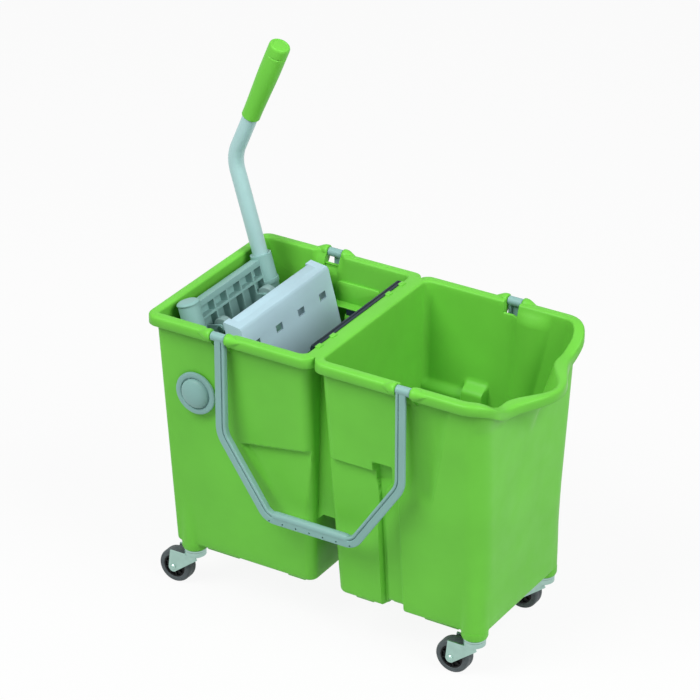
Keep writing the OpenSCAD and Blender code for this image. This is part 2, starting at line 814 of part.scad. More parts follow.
// Ribbed casting that turns on the pivot, with a tube socket at each end
module lever_block() {
    back = -9 - socket_back;
    front = 6 - socket_back;
    web_t = 3;
    rib_t = 3;
    top_h = 8;
    window_h = 15;
    front_y = side_of(spare_y);
    rear_y = side_of(tube_y);
    boss = pivot_r + 6;
    lug_in = roller_w / 2 + gap;
    rib_top = block_h - 4;
    top_z = block_h - top_h - 2;
    in_frame() at_lever() color(PALE_GREY) difference() {
        union() {
            translate([back, -front_y, 0]) cube([web_t, front_y + rear_y, rib_top]);
            for (level = [[top_z, top_h], [top_z - window_h - rib_t, rib_t]])
                translate([back, -front_y, level[0]]) cube([front - back, front_y + rear_y, level[1]]);
            for (y = [-0.3, 0.3]) rib(y * roller_y, back, front, rib_t, rib_top);
            both_sides() {
                rib(roller_y - lug_in - rib_t / 2, back, front, rib_t, rib_top);
                for (y = [-lug_in - rib_t, lug_in])
                    translate([0, roller_y + y, 0]) roller_lug(rib_t, back);
            }
            tube_socket(tube_y, back, front, rib_t, rib_top);
            mirror([0, 1, 0]) tube_socket(spare_y, back, front, rib_t, rib_top);
            rotate([90, 0, 0]) translate([0, 0, -tube_y]) cylinder(h = tube_y + spare_y, r = boss);
        }
        rotate([90, 0, 0]) cylinder(h = 4 * plate_y, r = pivot_r + run_fit, center = true);
        for (y = [-spare_y, tube_y])
            translate([-socket_back, y, socket_floor]) cylinder(h = block_h, r = tube_r + run_fit);
        translate([roller_px, 0, roller_pz])
            rotate([90, 0, 0])
                cylinder(h = 4 * roller_y, r = roller_pin_r + run_fit, center = true);
        both_sides()
            translate([roller_px, roller_y, roller_pz])
                rotate([90, 0, 0])
                    cylinder(h = roller_w + 2 * gap, r = roller_r + 2 * gap, center = true);
    }
}

// Where the ribbed part of the lever block ends beside a socket
function side_of(y) = y - socket_r + 2;

// Tube socket at an end of the lever block, with a collar and a foot down to the pivot
module tube_socket(y, back, front, rib_t, rib_top) {
    side_y = side_of(y);
    collar = 1.5;
    rib(side_y - rib_t / 2, back, front, rib_t, rib_top);
    translate([-socket_back, y, socket_low]) {
        cylinder(h = block_h + 2 - socket_low, r = socket_r);
        translate([0, 0, -10]) cylinder(h = 16, r = socket_r - collar);
        translate([0, 0, 10]) cylinder(h = 6, r = socket_r + collar);
    }
    translate([back, side_y - rib_t, 0]) cube([front - back, y - side_y + rib_t, socket_low]);
}

// An upright rib of the lever block
module rib(y, back, front, t, high) {
    translate([back, y - t / 2, 0]) cube([front - back, t, high]);
}

// One of the two ears that hold a roller's pin
module roller_lug(t, back) {
    reach = roller_pin_r + 3;
    translate([back, 0, roller_pz - reach]) cube([roller_px - back, t, 2 * reach]);
    translate([roller_px, t, roller_pz]) rotate([90, 0, 0]) cylinder(h = t, r = reach);
}

module roller(y) {
    edge = 1.5;
    in_frame() at_lever()
        translate([roller_px, y, roller_pz])
            rotate([90, 0, 0])
                color(ROLLER_GREY) rotate_extrude() polygon([
                    [roller_pin_r + run_fit, -roller_w / 2],
                    [roller_r - edge, -roller_w / 2],
                    [roller_r, edge - roller_w / 2],
                    [roller_r, roller_w / 2 - edge],
                    [roller_r - edge, roller_w / 2],
                    [roller_pin_r + run_fit, roller_w / 2]
                ]);
}

module roller_pin(y) {
    half = roller_w / 2 + gap + 3;
    in_frame() at_lever()
        translate([roller_px, y, roller_pz])
            rotate([90, 0, 0])
                color(ZINC) {
                    cylinder(h = 2 * half, r = roller_pin_r, center = true);
                    both_ends(half) cylinder(h = 1.2, r = roller_pin_r + 1.5);
                }
}

module pivot_shaft() {
    in_frame() color(ZINC)
        translate([-pivot_x, 0, pivot_z])
            rotate([90, 0, 0])
                cylinder(h = 2 * pad_y + 4, r = pivot_r, center = true);
}

// Cap over an end of the pivot shaft, seated on the pad outside the wall
module pivot_cap() {
    rim = 4;
    high = 11;
    shell = 3;
    color(PALE_GREY)
        translate([-pivot_x, -pad_y, pivot_z])
            rotate([90, 0, 0])
                rotate_extrude() difference() {
                    polygon([
                        [0, 0],
                        [cap_r - 1, 0],
                        [cap_r, 1],
                        [cap_r, rim - 1],
                        [cap_r - 1, rim],
                        [dome_r + 1, rim],
                        [dome_r + 1, rim - 1],
                        [dome_r, rim - 1],
                        [dome_r, rim + 2],
                        for (i = [1 : 6])
                            [dome_r * cos(15 * i), rim + 2 + (high - rim - 2) * sin(15 * i)]
                    ]);
                    square([pivot_r + 2, high - shell]);
                }
}

module pivot_cap_front() {
    in_frame() pivot_cap();
}

module pivot_cap_rear() {
    in_frame() mirror([0, 1, 0]) pivot_cap();
}

// Section of the lever tube, grown by a margin
module tube_ring(m) {
    difference() {
        circle(r = tube_r + m);
        circle(r = tube_r - tube_t - m);
    }
}

// A frame at the end of the tube's bend, with its Z running up the tube
module above_bend() {
    translate([0, 0, lower_tube])
        translate([bend_r, 0, 0])
            rotate([0, bend_turn, 0])
                translate([-bend_r, 0, 0]) children();
}

module lever_tube() {
    in_frame() at_lever() translate([-socket_back, tube_y, 0]) color(PALE_GREY) {
        translate([0, 0, socket_floor])
            linear_extrude(lower_tube - socket_floor + joint_l) tube_ring(0);
        translate([bend_r, 0, lower_tube])
            rotate([90, 0, 0])
                rotate([0, 0, 180 - bend_turn])
                    rotate_extrude(angle = bend_turn) translate([bend_r, 0]) tube_ring(joint_m);
        above_bend()
            translate([0, 0, -joint_l])
                linear_extrude(tube_upper - bend_cut + joint_l) tube_ring(0);
    }
}

// Grip over the end of the lever tube, swelling towards a domed end
module lever_grip() {
    wall = 2;
    start = tube_upper - bend_cut - grip_l + 6;
    neck_r = tube_r + wall;
    dome = grip_r - 1;
    in_frame() at_lever() translate([-socket_back, tube_y, 0]) above_bend()
        translate([0, 0, start])
            color(GREEN) rotate_extrude() difference() {
                polygon([
                    [0, 0],
                    [neck_r - 1, 0],
                    [neck_r, 1.5],
                    [neck_r + 0.3, grip_l * 0.25],
                    [grip_r - 0.6, grip_l * 0.55],
                    [grip_r, grip_l * 0.75],
                    for (i = [0 : 6])
                        [dome * cos(15 * i) + (i < 6 ? 0.4 : 0), grip_l - dome * 0.8 * (1 - sin(15 * i))]
                ]);
                translate([-over, -over]) square([tube_r + run_fit + over, grip_l - 6 + over]);
            }
}

// Plug in the spare socket, with a flat domed head
module socket_cap() {
    head_r = socket_r + 1;
    in_frame() at_lever()
        translate([-socket_back, -spare_y, block_h + 2])
            color(PALE_GREY) rotate_extrude() polygon([
                [0, -14],
                [tube_r - 0.1, -14],
                [tube_r - 0.1, 0],
                [head_r, 0],
                [head_r, 2],
                [head_r - 3, 4],
                [0, 5]
            ]);
}

// Corners of the bail's middle line, down one leg and up the other
bail_path = [
    [-bail_x, 0],
    [-bail_x, bail_knee_z - bail_z],
    [-bail_low_x, bail_low_z - bail_z],
    [bail_low_x, bail_low_z - bail_z],
    [bail_x, bail_knee_z - bail_z],
    [bail_x, 0]
];
bail_bends = [0, 40, 22, 22, 40, 0];

function heading(p, q) = atan2(q[1] - p[1], q[0] - p[0]);
function turn_at(i) = (i == 0 || i == len(bail_path) - 1) ? 0
    : (heading(bail_path[i], bail_path[i + 1]) - heading(bail_path[i - 1], bail_path[i]) + 720) % 360;
function cut_at(i) = bail_bends[i] * tan(turn_at(i) / 2);

// Sections swept along the bail's middle line, their X towards the inside of the bail: the first for
// the straight lengths, which run into the bends a little, and the second, a trace larger, for the bends
module along_bail() {
    for (i = [0 : len(bail_path) - 2]) {
        p = bail_path[i];
        q = bail_path[i + 1];
        start = cut_at(i) - (turn_at(i) > 0 ? joint_l : 0);
        end = norm(q - p) - cut_at(i + 1);
        translate([p[0], p[1], 0])
            rotate([0, 0, heading(p, q)]) {
                translate([start, 0, 0])
                    rotate([90, 0, 90])
                        linear_extrude(end - start + (turn_at(i + 1) > 0 ? joint_l : 0)) children(0);
                if (turn_at(i + 1) > 0)
                    translate([end, bail_bends[i + 1], 0])
                        rotate([0, 0, -90])
                            rotate_extrude(angle = turn_at(i + 1))
                                translate([bail_bends[i + 1], 0]) mirror([1, 0]) children(1);
            }
    }
}

// Section of the bail, grown by a margin: a flat flange with a round bead along its inner edge
module bail_section(m) {
    translate([-bail_flange_w + bail_bead_r - 1 - m, bail_flange_t / 4 - m])
        square([bail_flange_w + 2 * m, bail_flange_t + 2 * m]);
    translate([bail_bead_r, 0]) circle(r = bail_bead_r + m);
}

module bail() {
    holes_l = 2 * bail_low_x - 8;
    rotate([90, 0, 0]) difference() {
        union() {
            along_bail() {
                bail_section(0);
                bail_section(joint_m);
            }
            translate([0, bail_low_z - bail_z + bail_bead_r, 0])
                rotate([0, 90, 0])
                    cylinder(h = 2 * bail_low_x - 14, r = bail_grip_r, center = true);
            for (x = [-bail_notch_x, bail_notch_x])
                translate([x, 0, 0])
                    rotate([0, 90, 0]) {
                        cylinder(h = bail_barrel_l, r = bail_barrel_r, center = true);
                        cylinder(h = bail_barrel_l + 2 * bail_pin_l, r = bail_pin_r, center = true);
                    }
        }
        for (i = [0 : bail_holes - 1])
            translate([holes_l * (i / (bail_holes - 1) - 0.5), bail_low_z - bail_z - 3.5, 0])
                cylinder(h = 30, r = 1.1, center = true);
    }
}

module bail_front() {
    in_frame() color(PALE_GREY) translate([0, -bail_y, bail_z]) bail();
}

module bail_rear() {
    in_frame() color(PALE_GREY) mirror([0, 1, 0]) translate([0, -bail_y, bail_z]) bail();
}

// Heights of a caster's swivel, from the boss down
race_top = boss_z;
race_low = race_top - 3;
fork_top = race_low - race_h;
fork_plate = fork_top - fork_t;

// Stem, upper race and rivet of a caster's swivel
module caster_stem() {
    head = 2;
    color(ZINC) {
        translate([0, 0, race_low]) {
            cylinder(h = race_top - race_low, r = boss_r - 2.5);
            cylinder(h = race_top - race_low + stem_l, r = stem_r);
        }
        translate([0, 0, fork_plate - gap - head]) {
            cylinder(h = race_low - fork_plate + gap + head, r = rivet_r);
            cylinder(h = head, r = rivet_r + 2.5);
        }
    }
}

// Pressed fork: a dished race, a top plate and two cheeks that taper to the axle
module caster_fork() {
    race_r = boss_r - 3;
    cheek = 2 * (fork_in + fork_t);
    eye = axle_r + 4;
    crown_l = 12;
    color(ZINC) difference() {
        union() {
            translate([0, 0, fork_plate]) rotate_extrude() polygon([
                [rivet_r, 0],
                [race_r - 3, 0],
                [race_r, fork_t],
                [race_r, fork_t + race_h - gap],
                [race_r - fork_t, fork_t + race_h - gap],
                [race_r - fork_t - 1, fork_t],
                [rivet_r, fork_t]
            ]);
            translate([-crown_l, -cheek / 2, fork_plate]) cube([crown_l + 8, cheek, fork_t]);
            both_sides()
                translate([0, cheek / 2, 0])
                    rotate([90, 0, 0])
                        linear_extrude(fork_t) {
                            polygon([
                                [-trail - 4, fork_plate + fork_t],
                                [8, fork_plate + fork_t],
                                [10, fork_plate - 2],
                                [-trail + eye * 0.7, wheel_r - eye * 0.7],
                                [-trail - eye, wheel_r]
                            ]);
                            translate([-trail, wheel_r]) circle(r = eye);
                        }
        }
        translate([0, 0, fork_plate - over]) cylinder(h = 2 * race_h, r = rivet_r + run_fit);
        translate([-trail, 0, wheel_r])
            rotate([90, 0, 0])
                cylinder(h = 2 * cheek, r = axle_r + run_fit, center = true);
    }
}

module caster_axle() {
    half = fork_in + fork_t;
    head = 2;
    color(ZINC)
        translate([-trail, 0, wheel_r])
            rotate([90, 0, 0]) {
                cylinder(h = 2 * half, r = axle_r, center = true);
                both_ends(half) cylinder(h = head, r1 = axle_r + 2, r2 = axle_r);
            }
}

module caster_hub() {
    half = wheel_w / 2;
    dish = 3;
    color(BLACK)
        translate([-trail, 0, wheel_r])
            rotate([90, 0, 0])
                rotate_extrude() polygon([
                    [axle_r + run_fit, -half - wheel_gap],
                    [axle_r + 4, -half - wheel_gap],
                    [axle_r + 5, dish - half],
                    [hub_r - 2, dish - half],
                    [hub_r - 1, 1 - half],
                    [hub_r, 1 - half],
                    [hub_r, half - 1],
                    [hub_r - 1, half - 1],
                    [hub_r - 2, half - dish],
                    [axle_r + 5, half - dish],
                    [axle_r + 4, half + wheel_gap],
                    [axle_r + run_fit, half + wheel_gap]
                ]);
}

module caster_tyre() {
    half = wheel_w / 2;
    crown = 6;
    function tread_r(i) = wheel_r - crown * 0.6 * (1 - sin(22.5 * i));
    color(TYRE_GREY)
        translate([-trail, 0, wheel_r])
            rotate([90, 0, 0])
                rotate_extrude() polygon([
                    [hub_r, -half],
                    [wheel_r - crown, -half],
                    for (i = [0 : 4]) [tread_r(i), crown * (1 - cos(22.5 * i)) - half],
                    for (i = [4 : -1 : 0]) [tread_r(i), half - crown * (1 - cos(22.5 * i))],
                    [wheel_r - crown, half],
                    [hub_r, half]
                ]);
}

// One piece of a caster, by its place: left or right end, front or rear side
module caster(place, piece) {
    x = (place[1] == "r") ? caster_x : -caster_x;
    y = (place[0] == "r") ? caster_y : -caster_y;
    in_frame() translate([x, y, 0]) {
        if (piece == "stem") caster_stem();
        if (piece == "fork") caster_fork();
        if (piece == "axle") caster_axle();
        if (piece == "hub") caster_hub();
        if (piece == "tyre") caster_tyre();
    }
}

tub();
wringer_jaw();
press_plate();
plate_hinge_pin();
lever_block();
pivot_shaft();
pivot_cap_front();
pivot_cap_rear();
roller(-roller_y);  // roller_front
roller(roller_y);  // roller_rear
roller_pin(-roller_y);  // roller_pin_front
roller_pin(roller_y);  // roller_pin_rear
lever_tube();
lever_grip();
socket_cap();
bail_front();
bail_rear();
caster("fl", "stem");  // caster_fl_stem
caster("fl", "fork");  // caster_fl_fork
caster("fl", "axle");  // caster_fl_axle
caster("fl", "hub");  // caster_fl_hub
caster("fl", "tyre");  // caster_fl_tyre
caster("fr", "stem");  // caster_fr_stem
caster("fr", "fork");  // caster_fr_fork
caster("fr", "axle");  // caster_fr_axle
caster("fr", "hub");  // caster_fr_hub
caster("fr", "tyre");  // caster_fr_tyre
caster("rl", "stem");  // caster_rl_stem
caster("rl", "fork");  // caster_rl_fork
caster("rl", "axle");  // caster_rl_axle
caster("rl", "hub");  // caster_rl_hub
caster("rl", "tyre");  // caster_rl_tyre
caster("rr", "stem");  // caster_rr_stem
caster("rr", "fork");  // caster_rr_fork
caster("rr", "axle");  // caster_rr_axle
caster("rr", "hub");  // caster_rr_hub
caster("rr", "tyre");  // caster_rr_tyre
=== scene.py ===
import json
import math
from contextlib import contextmanager

import bmesh
import bpy
import numpy as np
from mathutils import Matrix, Vector


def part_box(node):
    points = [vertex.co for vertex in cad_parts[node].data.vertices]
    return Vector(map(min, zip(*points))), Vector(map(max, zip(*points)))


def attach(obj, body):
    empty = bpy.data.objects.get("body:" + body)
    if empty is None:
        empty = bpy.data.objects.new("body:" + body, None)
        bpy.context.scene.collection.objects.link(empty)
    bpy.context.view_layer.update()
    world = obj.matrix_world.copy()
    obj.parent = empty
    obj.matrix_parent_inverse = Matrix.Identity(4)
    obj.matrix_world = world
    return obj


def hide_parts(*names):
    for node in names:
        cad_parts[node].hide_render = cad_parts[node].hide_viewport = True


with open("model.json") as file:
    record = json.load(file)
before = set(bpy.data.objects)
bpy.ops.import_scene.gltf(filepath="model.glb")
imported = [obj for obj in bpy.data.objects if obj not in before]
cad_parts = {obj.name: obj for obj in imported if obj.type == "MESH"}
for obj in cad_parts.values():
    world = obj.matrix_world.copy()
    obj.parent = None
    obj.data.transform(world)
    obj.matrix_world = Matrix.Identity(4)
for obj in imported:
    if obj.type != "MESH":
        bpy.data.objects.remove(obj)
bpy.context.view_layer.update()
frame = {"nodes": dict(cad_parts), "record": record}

bl_info = {
    "name": "Double mop bucket trolley",
    "version": (1, 0, 0),
    "blender": (4, 5, 0),
    "location": "View3D > Sidebar > Trolley",
    "description": "Dresses the twin mop bucket, its lever wringer, bails and casters",
    "category": "Object",
}

NODES = frame["nodes"]
SLOTS = {part["node"]: part["material_slot"] for part in frame["record"]["subparts"]}
BODIES = {node: body for body, nodes in frame["record"]["behaviour"]["bodies"].items() for node in nodes}
CASTERS = ("fl", "fr", "rl", "rr")
MM = 0.001
# Points closer than this many metres are one
MERGE = 0.00002

# The seam between the buckets, which the sizes below are counted from, lies half the rim's length
# from the wringer end of the tub
TUB_LENGTH = 525
SEAM_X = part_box("tub")[0].x + TUB_LENGTH / 2 * MM


def mm(name, default, description):
    """A length, given in millimetres and held in metres."""
    return bpy.props.FloatProperty(
        name=name, description=description, default=default * MM, unit="LENGTH", min=0.0, precision=4
    )


def angle(name, degrees, description):
    return bpy.props.FloatProperty(
        name=name, description=description, default=math.radians(degrees), subtype="ANGLE"
    )


def count(name, default, description):
    return bpy.props.IntProperty(name=name, description=description, default=default, min=3)


def srgb(text):
    """Linear RGBA of an sRGB hex colour."""
    values = [int(text[i:i + 2], 16) / 255 for i in (1, 3, 5)]
    return tuple(v / 12.92 if v <= 0.04045 else ((v + 0.055) / 1.055) ** 2.4 for v in values) + (1.0,)


def colour(name, text, description):
    return bpy.props.FloatVectorProperty(
        name=name, description=description, default=srgb(text)[:3], subtype="COLOR", size=3, min=0, max=1
    )


class TubSizes(bpy.types.PropertyGroup):
    """Sizes of the twin tub."""

    length: mm("Length", TUB_LENGTH, "Over the rim, without the spout")
    width: mm("Width", 299, "Over the rim")
    rim_z: mm("Rim height", 440, "Above the ground")
    rim_h: mm("Skirt", 15, "Height of the rim's skirt")
    rim_out: mm("Overhang", 11, "Of the rim beyond the walls")
    rim_t: mm("Skirt wall", 3, "Thickness of the skirt")
    rim_edge: mm("Rim edge", 4.5, "Radius along the rim's upper edge")
    wall_t: mm("Wall", 4, "Thickness")
    floor_z: mm("Floor height", 72, "Underside above the ground")
    floor_t: mm("Floor", 5, "Thickness")
    floor_edge: mm("Floor edge", 6, "Radius")
    side_taper: mm("Side taper", 30, "Lean of a long wall from rim to floor")
    end_taper: mm("End taper", 5, "Lean of the wringer bucket's end wall")
    spout_taper: mm("Spout taper", 9, "Lean of the spout bucket's end wall")
    seam_gap: mm("Seam gap", 18, "Between the buckets at the rim")
    seam_shift: mm("Seam shift", 3, "Of that gap towards the wringer bucket")
    seam_taper: mm("Seam taper", 10, "Lean of each wall at the seam")
    end_r: mm("Spout end corners", 28, "Radius of the walls' corners")
    far_r: mm("Wringer end corners", 7, "Radius of the walls' corners")
    seam_r: mm("Seam corners", 14, "Radius of the walls' corners")
    rim_seam_r: mm("Rim seam corners", 17, "Radius of the rim's corners")
    spout_reach: mm("Spout reach", 31, "Beyond the rim")
    spout_half: mm("Spout half width", 92, "At the rim")
    spout_h: mm("Spout height", 110, "Of its fairing")
    spout_dip: mm("Spout dip", 26, "Of the lip below the rim")
    lip_half: mm("Lip", 80, "Half width of its lowest part")
    flare_h: mm("Flare", 55, "Depth below the rim at which the spout's end wall flares out")
    ledge_z: mm("Ledge", 288, "Height of the panel ledges at the seam")
    ledge_drop: mm("Ledge drop", 20, "How much lower the wringer bucket's ledge ends")
    recess_z: mm("Recess foot", 187, "Height at which the hand recesses run out")
    recess_top: mm("Recess top", 124, "Far end of the wringer bucket's recess under the ledge")
    recess_foot: mm("Recess foot end", 64, "Far end of that recess at its foot")
    groove_x: mm("Groove", 88, "Start of the groove in the spout bucket's walls")
    groove_w: mm("Groove width", 8, "Along the wall")
    groove_d: mm("Groove depth", 9, "Into the wall")
    strip_w: mm("Strip", 28, "Width of the sunk strip beside the groove")
    strip_d: mm("Strip depth", 4, "Into the wall")
    strip_arch: mm("Strip arch", 9, "Height of the arch under the strip")
    pocket: mm("Pocket", 27, "Width and height of the pocket above the groove")
    pocket_d: mm("Pocket depth", 15, "Into the wall")
    flute_x: mm("Flute", 175, "Distance from the seam at the rim")
    flute_r: mm("Flute radius", 58, "At the rim")
    flute_foot: mm("Flute foot", 15, "Radius at its foot")
    flute_d: mm("Flute depth", 8, "Into the wall")
    flute_z: mm("Flute end", 258, "Height of its foot")
    web_in: mm("Web", 18.5, "Distance of the webs between the buckets inside the walls")
    web_z: mm("Web foot", 170, "Lower edge of the webs")
    notch_x: mm("Notch", 142.6, "Distance of the bail notches from the seam")
    notch_l: mm("Notch length", 23, "Along the rim")
    notch_z: mm("Notch floor", 423.4, "Height")
    bail_y: mm("Bail pins", 148, "Distance from the middle")
    bail_z: mm("Bail height", 436, "Height of the bail pins")
    knob_r: mm("Knob", 8.5, "Radius of the knobs beside the notches")
    knob_l: mm("Knob length", 11, "Of a knob and of its ramp")
    scoop: mm("Scoop", 6, "Depth of the scoop in the rim beside the wringer's notches")
    pivot_x: mm("Pivot", 191, "Distance of the lever's pivot from the seam")
    pivot_z: mm("Pivot height", 332, "Above the ground")
    pad_r: mm("Pivot pad", 29.5, "Radius of the pads behind the pivot caps")
    caster_x: mm("Caster", 224, "Distance of the swivel axes from the seam")
    caster_y: mm("Caster side", 95.5, "Distance of the swivel axes from the middle")
    jaw_y: mm("Jaw", 111.5, "Distance of its ends from the middle")
    jaw_edge: mm("Jaw edge", 13.5, "Distance of the edge on the rim from the seam")
    hood_z: mm("Hood", 370, "Foot of the panels above the jaw's rails")
    hood_h: mm("Hood height", 35, "Of those panels")
    hood_x: mm("Hood start", 61, "Distance of the panels from the seam")
    hood_w: mm("Hood width", 72, "Of the panels")
    rest_z: mm("Rests", 366, "Height of the rests that carry the jaw")
    rest_x: mm("Rest start", 79, "Distance of the rests from the seam")
    rest_w: mm("Rest width", 28, "Width and height of a rest")
    stem_r: mm("Stem", 5.5, "Radius of the caster stems")
    stem_l: mm("Stem length", 28, "How far the stems reach into the bosses")
    boss_r: mm("Boss", 18.5, "Radius of the caster bosses")
    boss_z: mm("Boss foot", 62, "Underside above the ground")


class WringerSizes(bpy.types.PropertyGroup):
    """Sizes of the lever and of the pieces that turn on it."""

    lean: angle("Lever lean", 16.5, "At rest")
    socket_back: mm("Socket offset", 3.5, "How far the tube sockets lie behind the pivot")
    tube_y: mm("Tube side", 84.01, "Distance of the tube from the middle")
    tube_r: mm("Tube radius", 11, "Outside")
    tube_foot: mm("Tube foot", 70, "Distance from the pivot")
    bend_at: mm("Bend", 258, "Distance of the tube's bend from the pivot")
    bend_r: mm("Bend radius", 55, "Along the tube's middle")
    tube_lean: angle("Upper lean", 23.0, "Of the tube above the bend")
    tube_upper: mm("Upper tube", 192, "Length above the bend")
    grip_l: mm("Grip", 126, "Length")
    grip_r: mm("Grip radius", 15, "At its thickest")
    cap_r: mm("Cap", 31, "Radius of the pivot caps")
    dome_r: mm("Cap dome", 21.5, "Radius of the dome on a cap")
    hinge_x: mm("Hinge", 86, "Distance of the press plate's hinge from the seam")
    hinge_z: mm("Hinge height", 250, "Above the ground")
    plate_lean: angle("Plate lean", 15.0, "At rest")
    plate_h: mm("Plate", 189, "Height above its hinge")
    fold_w: mm("Fold", 22.3, "Width of the press plate's folded top")
    fold_rise: angle("Fold rise", 22.4, "Slope above the square of the plate")
    window_w: mm("Drain hole", 16, "Width of the holes in the press plate")
    window_h: mm("Drain hole height", 10.6, "Of those holes")


class BailSizes(bpy.types.PropertyGroup):
    """Sizes of the two carrying bails."""

    leg_x: mm("Legs", 140, "Distance from the seam")
    knee_z: mm("Knee", 293, "Height at which the legs start to slant")
    low_z: mm("Lower bar", 185, "Height")
    low_x: mm("Lower bar half", 67.5, "Half its length")
    knee_r: mm("Knee radius", 40, "Of the upper bends")
    low_r: mm("Lower radius", 22, "Of the lower bends")
    flange_w: mm("Flange", 10, "Width")
    flange_t: mm("Flange thickness", 4.5, "Thickness")
    bead_r: mm("Bead", 4.2, "Radius of the bead along the inner edge")
    grip_r: mm("Grip", 6.2, "Radius of the grip on the lower bar")
    barrel_r: mm("Barrel", 6.3, "Radius")
    barrel_l: mm("Barrel length", 22, "Along the rim")
    pin_r: mm("Pin", 4, "Radius of the stub pins")
    pin_l: mm("Pin length", 8, "Beyond the barrel")
    hole_r: mm("Hole", 1.4, "Radius of the small holes in the lower bar")
    holes: count("Holes", 7, "In the lower bar")


class CasterSizes(bpy.types.PropertyGroup):
    """Sizes of the casters."""

    wheel_r: mm("Wheel", 25, "Radius")
    wheel_w: mm("Wheel width", 20, "Along the axle")
    hub_r: mm("Hub", 17, "Radius")
    bore_r: mm("Bore", 3.05, "Radius of the hub's bore")
    bevel: mm("Edge", 0.5, "Rounding of the pressed edges")
    ribs: count("Ribs", 9, "On each side of a hub")


class Finishes(bpy.types.PropertyGroup):
    """Colours of the finishes."""

    green: colour("Lime green", "#66ba3d", "Tub and grip")
    grey: colour("Pale grey", "#7da49f", "Bails, block and caps")
    plate: colour("Blue grey", "#a3bfc9", "Press plate")
    slate: colour("Slate", "#1d2b34", "Jaw of the wringer")
    roller: colour("Mid grey", "#7d9a97", "Rollers")
    paint: colour("Tube grey", "#9dc2c1", "Coating of the lever tube")
    zinc: colour("Zinc", "#a4c4ba", "Plating of the forks and pins")
    black: colour("Black", "#111213", "Hubs")
    tyre: colour("Tyre grey", "#3d4649", "Tyres")


class StageSizes(bpy.types.PropertyGroup):
    """Camera."""

    azimuth: angle("Azimuth", 31.496, "Turn round the trolley")
    elevation: angle("Elevation", 27.873, "Rise above the horizon")
    distance: mm("Distance", 4600.48, "From what the camera aims at")
    lens: bpy.props.FloatProperty(name="Lens", description="Focal length in mm", default=182.92)
    aim: bpy.props.FloatVectorProperty(
        name="Aim", description="Point in the middle of the picture", default=(0.05114, -0.14395, 0.47084),
        subtype="TRANSLATION", unit="LENGTH"
    )


class Millimetres:
    """The lengths of a property group in millimetres, and its other values as they are."""

    def __init__(self, group):
        for name, value in group.bl_rna.properties.items():
            if name not in ("rna_type", "name"):
                held = getattr(group, name)
                setattr(self, name, held / MM if getattr(value, "unit", "NONE") == "LENGTH" else held)


def sizes(kind):
    return Millimetres(getattr(bpy.context.scene, "trolley_" + kind))


# Materials

def add(tree, kind, inputs=None, **settings):
    """Add a node with its settings; an input is a value or the socket that feeds it."""
    node = tree.nodes.new(kind)
    for name, value in settings.items():
        setattr(node, name, value)
    for name, value in (inputs or {}).items():
        if isinstance(value, bpy.types.NodeSocket):
            tree.links.new(value, node.inputs[name])
        else:
            node.inputs[name].default_value = value
    return node


def patches(tree, size, detail, low=0.0, high=1.0):
    """Soft blotches of a size in millimetres, as a value between low and high."""
    where = add(tree, "ShaderNodeTexCoord")
    noise = add(tree, "ShaderNodeTexNoise", {
        "Vector": where.outputs["Object"], "Scale": 1 / (size * MM), "Detail": detail, "Roughness": 0.55,
    })
    return add(tree, "ShaderNodeMapRange", {
        "Value": noise.outputs["Fac"], "From Min": 0.3, "From Max": 0.7, "To Min": low, "To Max": high,
    }).outputs["Result"]


def surface(name, base, constants, tint, cloud, rough, grain, bump):
    """A material with its shader's constants, a colour that is tinted darker and lighter in clouds,
    patches of roughness (their size, detail, lowest and highest) and a grain, with sizes in millimetres."""
    made = bpy.data.materials.get(name)
    if made:
        return made
    made = bpy.data.materials.new(name)
    made.use_nodes = True
    tree = made.node_tree
    shader = tree.nodes["Principled BSDF"]
    for label, value in constants.items():
        shader.inputs[label].default_value = value
    mix = add(tree, "ShaderNodeMixRGB", {
        "Fac": patches(tree, cloud, 3),
        "Color1": tuple(v * (1 - tint) for v in base) + (1.0,),
        "Color2": tuple(min(1.0, v * (1 + tint)) for v in base) + (1.0,),
    })
    relief = add(tree, "ShaderNodeBump", {
        "Height": patches(tree, grain, 2), "Strength": bump, "Distance": 0.0002,
    })
    tree.links.new(mix.outputs["Color"], shader.inputs["Base Color"])
    tree.links.new(patches(tree, *rough), shader.inputs["Roughness"])
    tree.links.new(relief.outputs["Normal"], shader.inputs["Normal"])
    return made


def moulded(name, base, rough, tint=0.05, grain=1.6, coat=0.0):
    """Injection moulded plastic: a soft sheen over a fine spark-eroded texture, with slow changes of
    colour and gloss across a large wall. Its real grain of 0.2 mm is drawn as 1.6 mm so that it shows."""
    constants = {"IOR": 1.49, "Specular IOR Level": 0.16, "Coat Weight": coat, "Coat Roughness": 0.25}
    return surface(name, base, constants, tint, 90, (35, 3, rough - 0.05, rough + 0.07), grain, 0.10)


